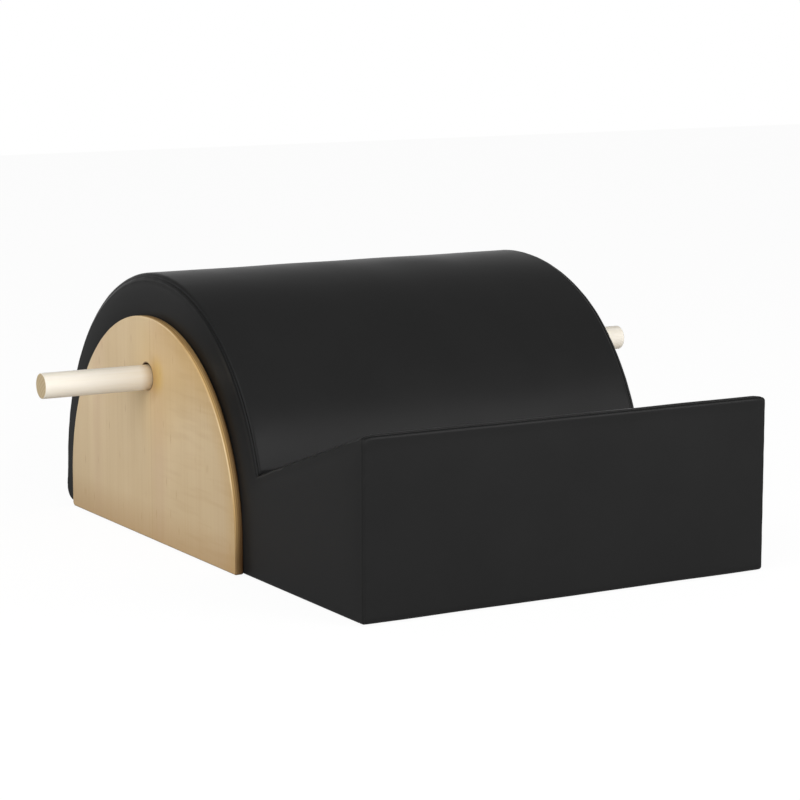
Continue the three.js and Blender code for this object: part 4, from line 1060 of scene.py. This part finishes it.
# Zinc-plated steel screws: bright grey metal, duller in patches
ZINC_DULL = "#b9bcc0"
ZINC_BRIGHT = "#d0d2d4"
PLATING_MM = 3.0
zinc = bpy.data.materials.new("zinc-plated steel")
tree = emptied(zinc)
place = add_node(tree, "TexCoord").outputs["Object"]
plating = add_node(tree, "TexNoise", {
    "Vector": place, "Scale": 1000 / PLATING_MM, "Detail": 3.0}).outputs["Fac"]
zinc_colour = add_node(tree, "Mix", {
    0: plating, 6: linear(ZINC_DULL), 7: linear(ZINC_BRIGHT)}, data_type="RGBA").outputs[2]
zinc_rough = add_node(tree, "MapRange", {0: plating, 1: 0.3, 2: 0.7, 3: 0.25, 4: 0.4}).outputs[0]
zinc_shader = add_node(tree, "BsdfPrincipled", {
    "Base Color": zinc_colour, "Metallic": 1.0, "Roughness": zinc_rough})
add_node(tree, "OutputMaterial", {0: zinc_shader.outputs[0]})

for node_name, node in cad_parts.items():
    if "_screw_" in node_name or node_name.endswith(("_rib", "_rail", "_board", "_skin")):
        node.data.materials.clear()
        node.data.materials.append(zinc if "_screw_" in node_name else carcass_ply)

# Foot pads. Four round pads of moulded rubber are stuck to the base board near its corners, and
# lift the body 2 mm off the floor.
PAD_X, PAD_Y, PAD_RADIUS, PAD_TOP = 225.0, 374.0, 20.0, 3.5
PAD_SIDES = 48
PAD_SHARP = math.radians(50)
PAD_PROFILE = np.array([
    (0, 0), (12, 0), (18.6, 0), (19.5, 0.25), (PAD_RADIUS, 0.9), (PAD_RADIUS, PAD_TOP), (12, PAD_TOP),
    (0, PAD_TOP)], float)

# Moulded rubber: black and matt, with a greyish bloom in patches
RUBBER_BLACK = "#171717"
RUBBER_BLOOM = "#262626"
BLOOM_MM = 4.0
rubber = bpy.data.materials.new("moulded rubber")
tree = emptied(rubber)
place = add_node(tree, "TexCoord").outputs["Object"]
bloom = add_node(tree, "TexNoise", {"Vector": place, "Scale": 1000 / BLOOM_MM, "Detail": 4.0}).outputs["Fac"]
rubber_colour = add_node(tree, "Mix", {
    0: bloom, 6: linear(RUBBER_BLACK), 7: linear(RUBBER_BLOOM)}, data_type="RGBA").outputs[2]
rubber_bump = add_node(tree, "Bump", {"Height": bloom, "Strength": 0.2, "Distance": 0.0003})
rubber_shader = add_node(tree, "BsdfPrincipled", {
    "Base Color": rubber_colour, "Roughness": 0.75, "Specular IOR Level": 0.3,
    "Normal": rubber_bump.outputs[0]})
add_node(tree, "OutputMaterial", {0: rubber_shader.outputs[0]})

# Signs of x and y of the four corners, in the order of the pads' numbers
CORNERS = ((-1, -1), (1, -1), (-1, 1), (1, 1))
turn = np.linspace(0, 2 * math.pi, PAD_SIDES, endpoint=False)
for number, (x_sign, y_sign) in enumerate(CORNERS, 1):
    pad_x, pad_y = arc_point(x_sign * PAD_X, y_sign * PAD_Y, PAD_PROFILE[:, :1], turn)
    pad_z = np.broadcast_to(PAD_PROFILE[:, 1:], pad_x.shape)
    pad = surface(f"rubber_foot_{number}", np.stack([pad_x, pad_y, pad_z], axis=-1), around=True)
    pad.data.set_sharp_from_angle(angle=PAD_SHARP)
    settle(pad, rubber, f"foot_pad_{number}")

# Dust cover. One sheet of black non-woven cloth is stretched under the base board between the hems,
# with a hole for each foot pad.
DUST_HALF, DUST_FRONT, DUST_BACK, DUST_LEVEL = 264.7, -405.7, 395.7, 3.4
DUST_THICK = 0.4
PAD_CLEARANCE = 0.6
QUARTER_COLUMNS, QUARTER_ROWS = 23, 35
RAY_SHARES = np.array([0, 0.15, 0.4, 0.7, 1.0])[:, None]

# Spun-bonded polypropylene: black and dull, of short grey threads pressed together in a grid of dots
DUST_BLACK = "#111111"
DUST_FIBRE = "#242424"
BOND_MM, THREAD_MM = 1.6, 1.2
dust_cloth = bpy.data.materials.new("black spun-bonded polypropylene")
tree = emptied(dust_cloth)
place = add_node(tree, "TexCoord").outputs["Object"]
bonds = add_node(tree, "TexVoronoi", {"Vector": place, "Scale": 1000 / BOND_MM, "Randomness": 0.1})
threads = add_node(tree, "TexNoise", {"Vector": place, "Scale": 1000 / THREAD_MM, "Detail": 3.0})
dust_colour = add_node(tree, "Mix", {
    0: threads.outputs["Fac"], 6: linear(DUST_BLACK), 7: linear(DUST_FIBRE)}, data_type="RGBA").outputs[2]
dust_bump = add_node(tree, "Bump", {"Height": bonds.outputs["Distance"], "Strength": 0.4, "Distance": 0.0003})
dust_shader = add_node(tree, "BsdfPrincipled", {
    "Base Color": dust_colour, "Roughness": 0.9, "Specular IOR Level": 0.2, "Normal": dust_bump.outputs[0]})
add_node(tree, "OutputMaterial", {0: dust_shader.outputs[0]})


def quarter_sheet(x_sign, y_sign):
    """One quarter of the dust cover round its pad's hole: rays from the hole's rim to even steps
    along the quarter's four sides."""
    xs = np.linspace(0, DUST_HALF * x_sign, QUARTER_COLUMNS)
    ys = np.linspace(0.5 * (DUST_FRONT + DUST_BACK), DUST_BACK if y_sign > 0 else DUST_FRONT, QUARTER_ROWS)
    across, along = QUARTER_COLUMNS - 1, QUARTER_ROWS - 1
    edge_x = np.concatenate([xs[:-1], np.full(along, xs[-1]), xs[:0:-1], np.full(along, xs[0])])
    edge_y = np.concatenate([np.full(across, ys[0]), ys[:-1], np.full(across, ys[-1]), ys[:0:-1]])
    toward = np.arctan2(edge_y - y_sign * PAD_Y, edge_x - x_sign * PAD_X)
    rim_x, rim_y = arc_point(x_sign * PAD_X, y_sign * PAD_Y, PAD_RADIUS + PAD_CLEARANCE, toward)
    x, y = rim_x + (edge_x - rim_x) * RAY_SHARES, rim_y + (edge_y - rim_y) * RAY_SHARES
    return np.stack([x, y, np.full(x.shape, DUST_LEVEL)], axis=-1)


# The four quarters are merged into one sheet, which faces down
dust_mesh = bpy.data.meshes.new("dust_sheet")
work = bmesh.new()
for signs in CORNERS:
    quarter = surface("dust_quarter", quarter_sheet(*signs), around=True)
    work.from_mesh(quarter.data)
    bpy.data.objects.remove(quarter)
bmesh.ops.remove_doubles(work, verts=work.verts, dist=1e-5)
bmesh.ops.recalc_face_normals(work, faces=work.faces)
if sum(face.normal.z for face in work.faces) > 0:
    bmesh.ops.reverse_faces(work, faces=work.faces)
work.to_mesh(dust_mesh)
work.free()
dust = bpy.data.objects.new("dust_sheet", dust_mesh)
bpy.context.scene.collection.objects.link(dust)
dust_wall = dust.modifiers.new("cloth thickness", "SOLIDIFY")
dust_wall.thickness = DUST_THICK / 1000
dust_wall.offset = 0
settle(dust, dust_cloth, "dust_cover")
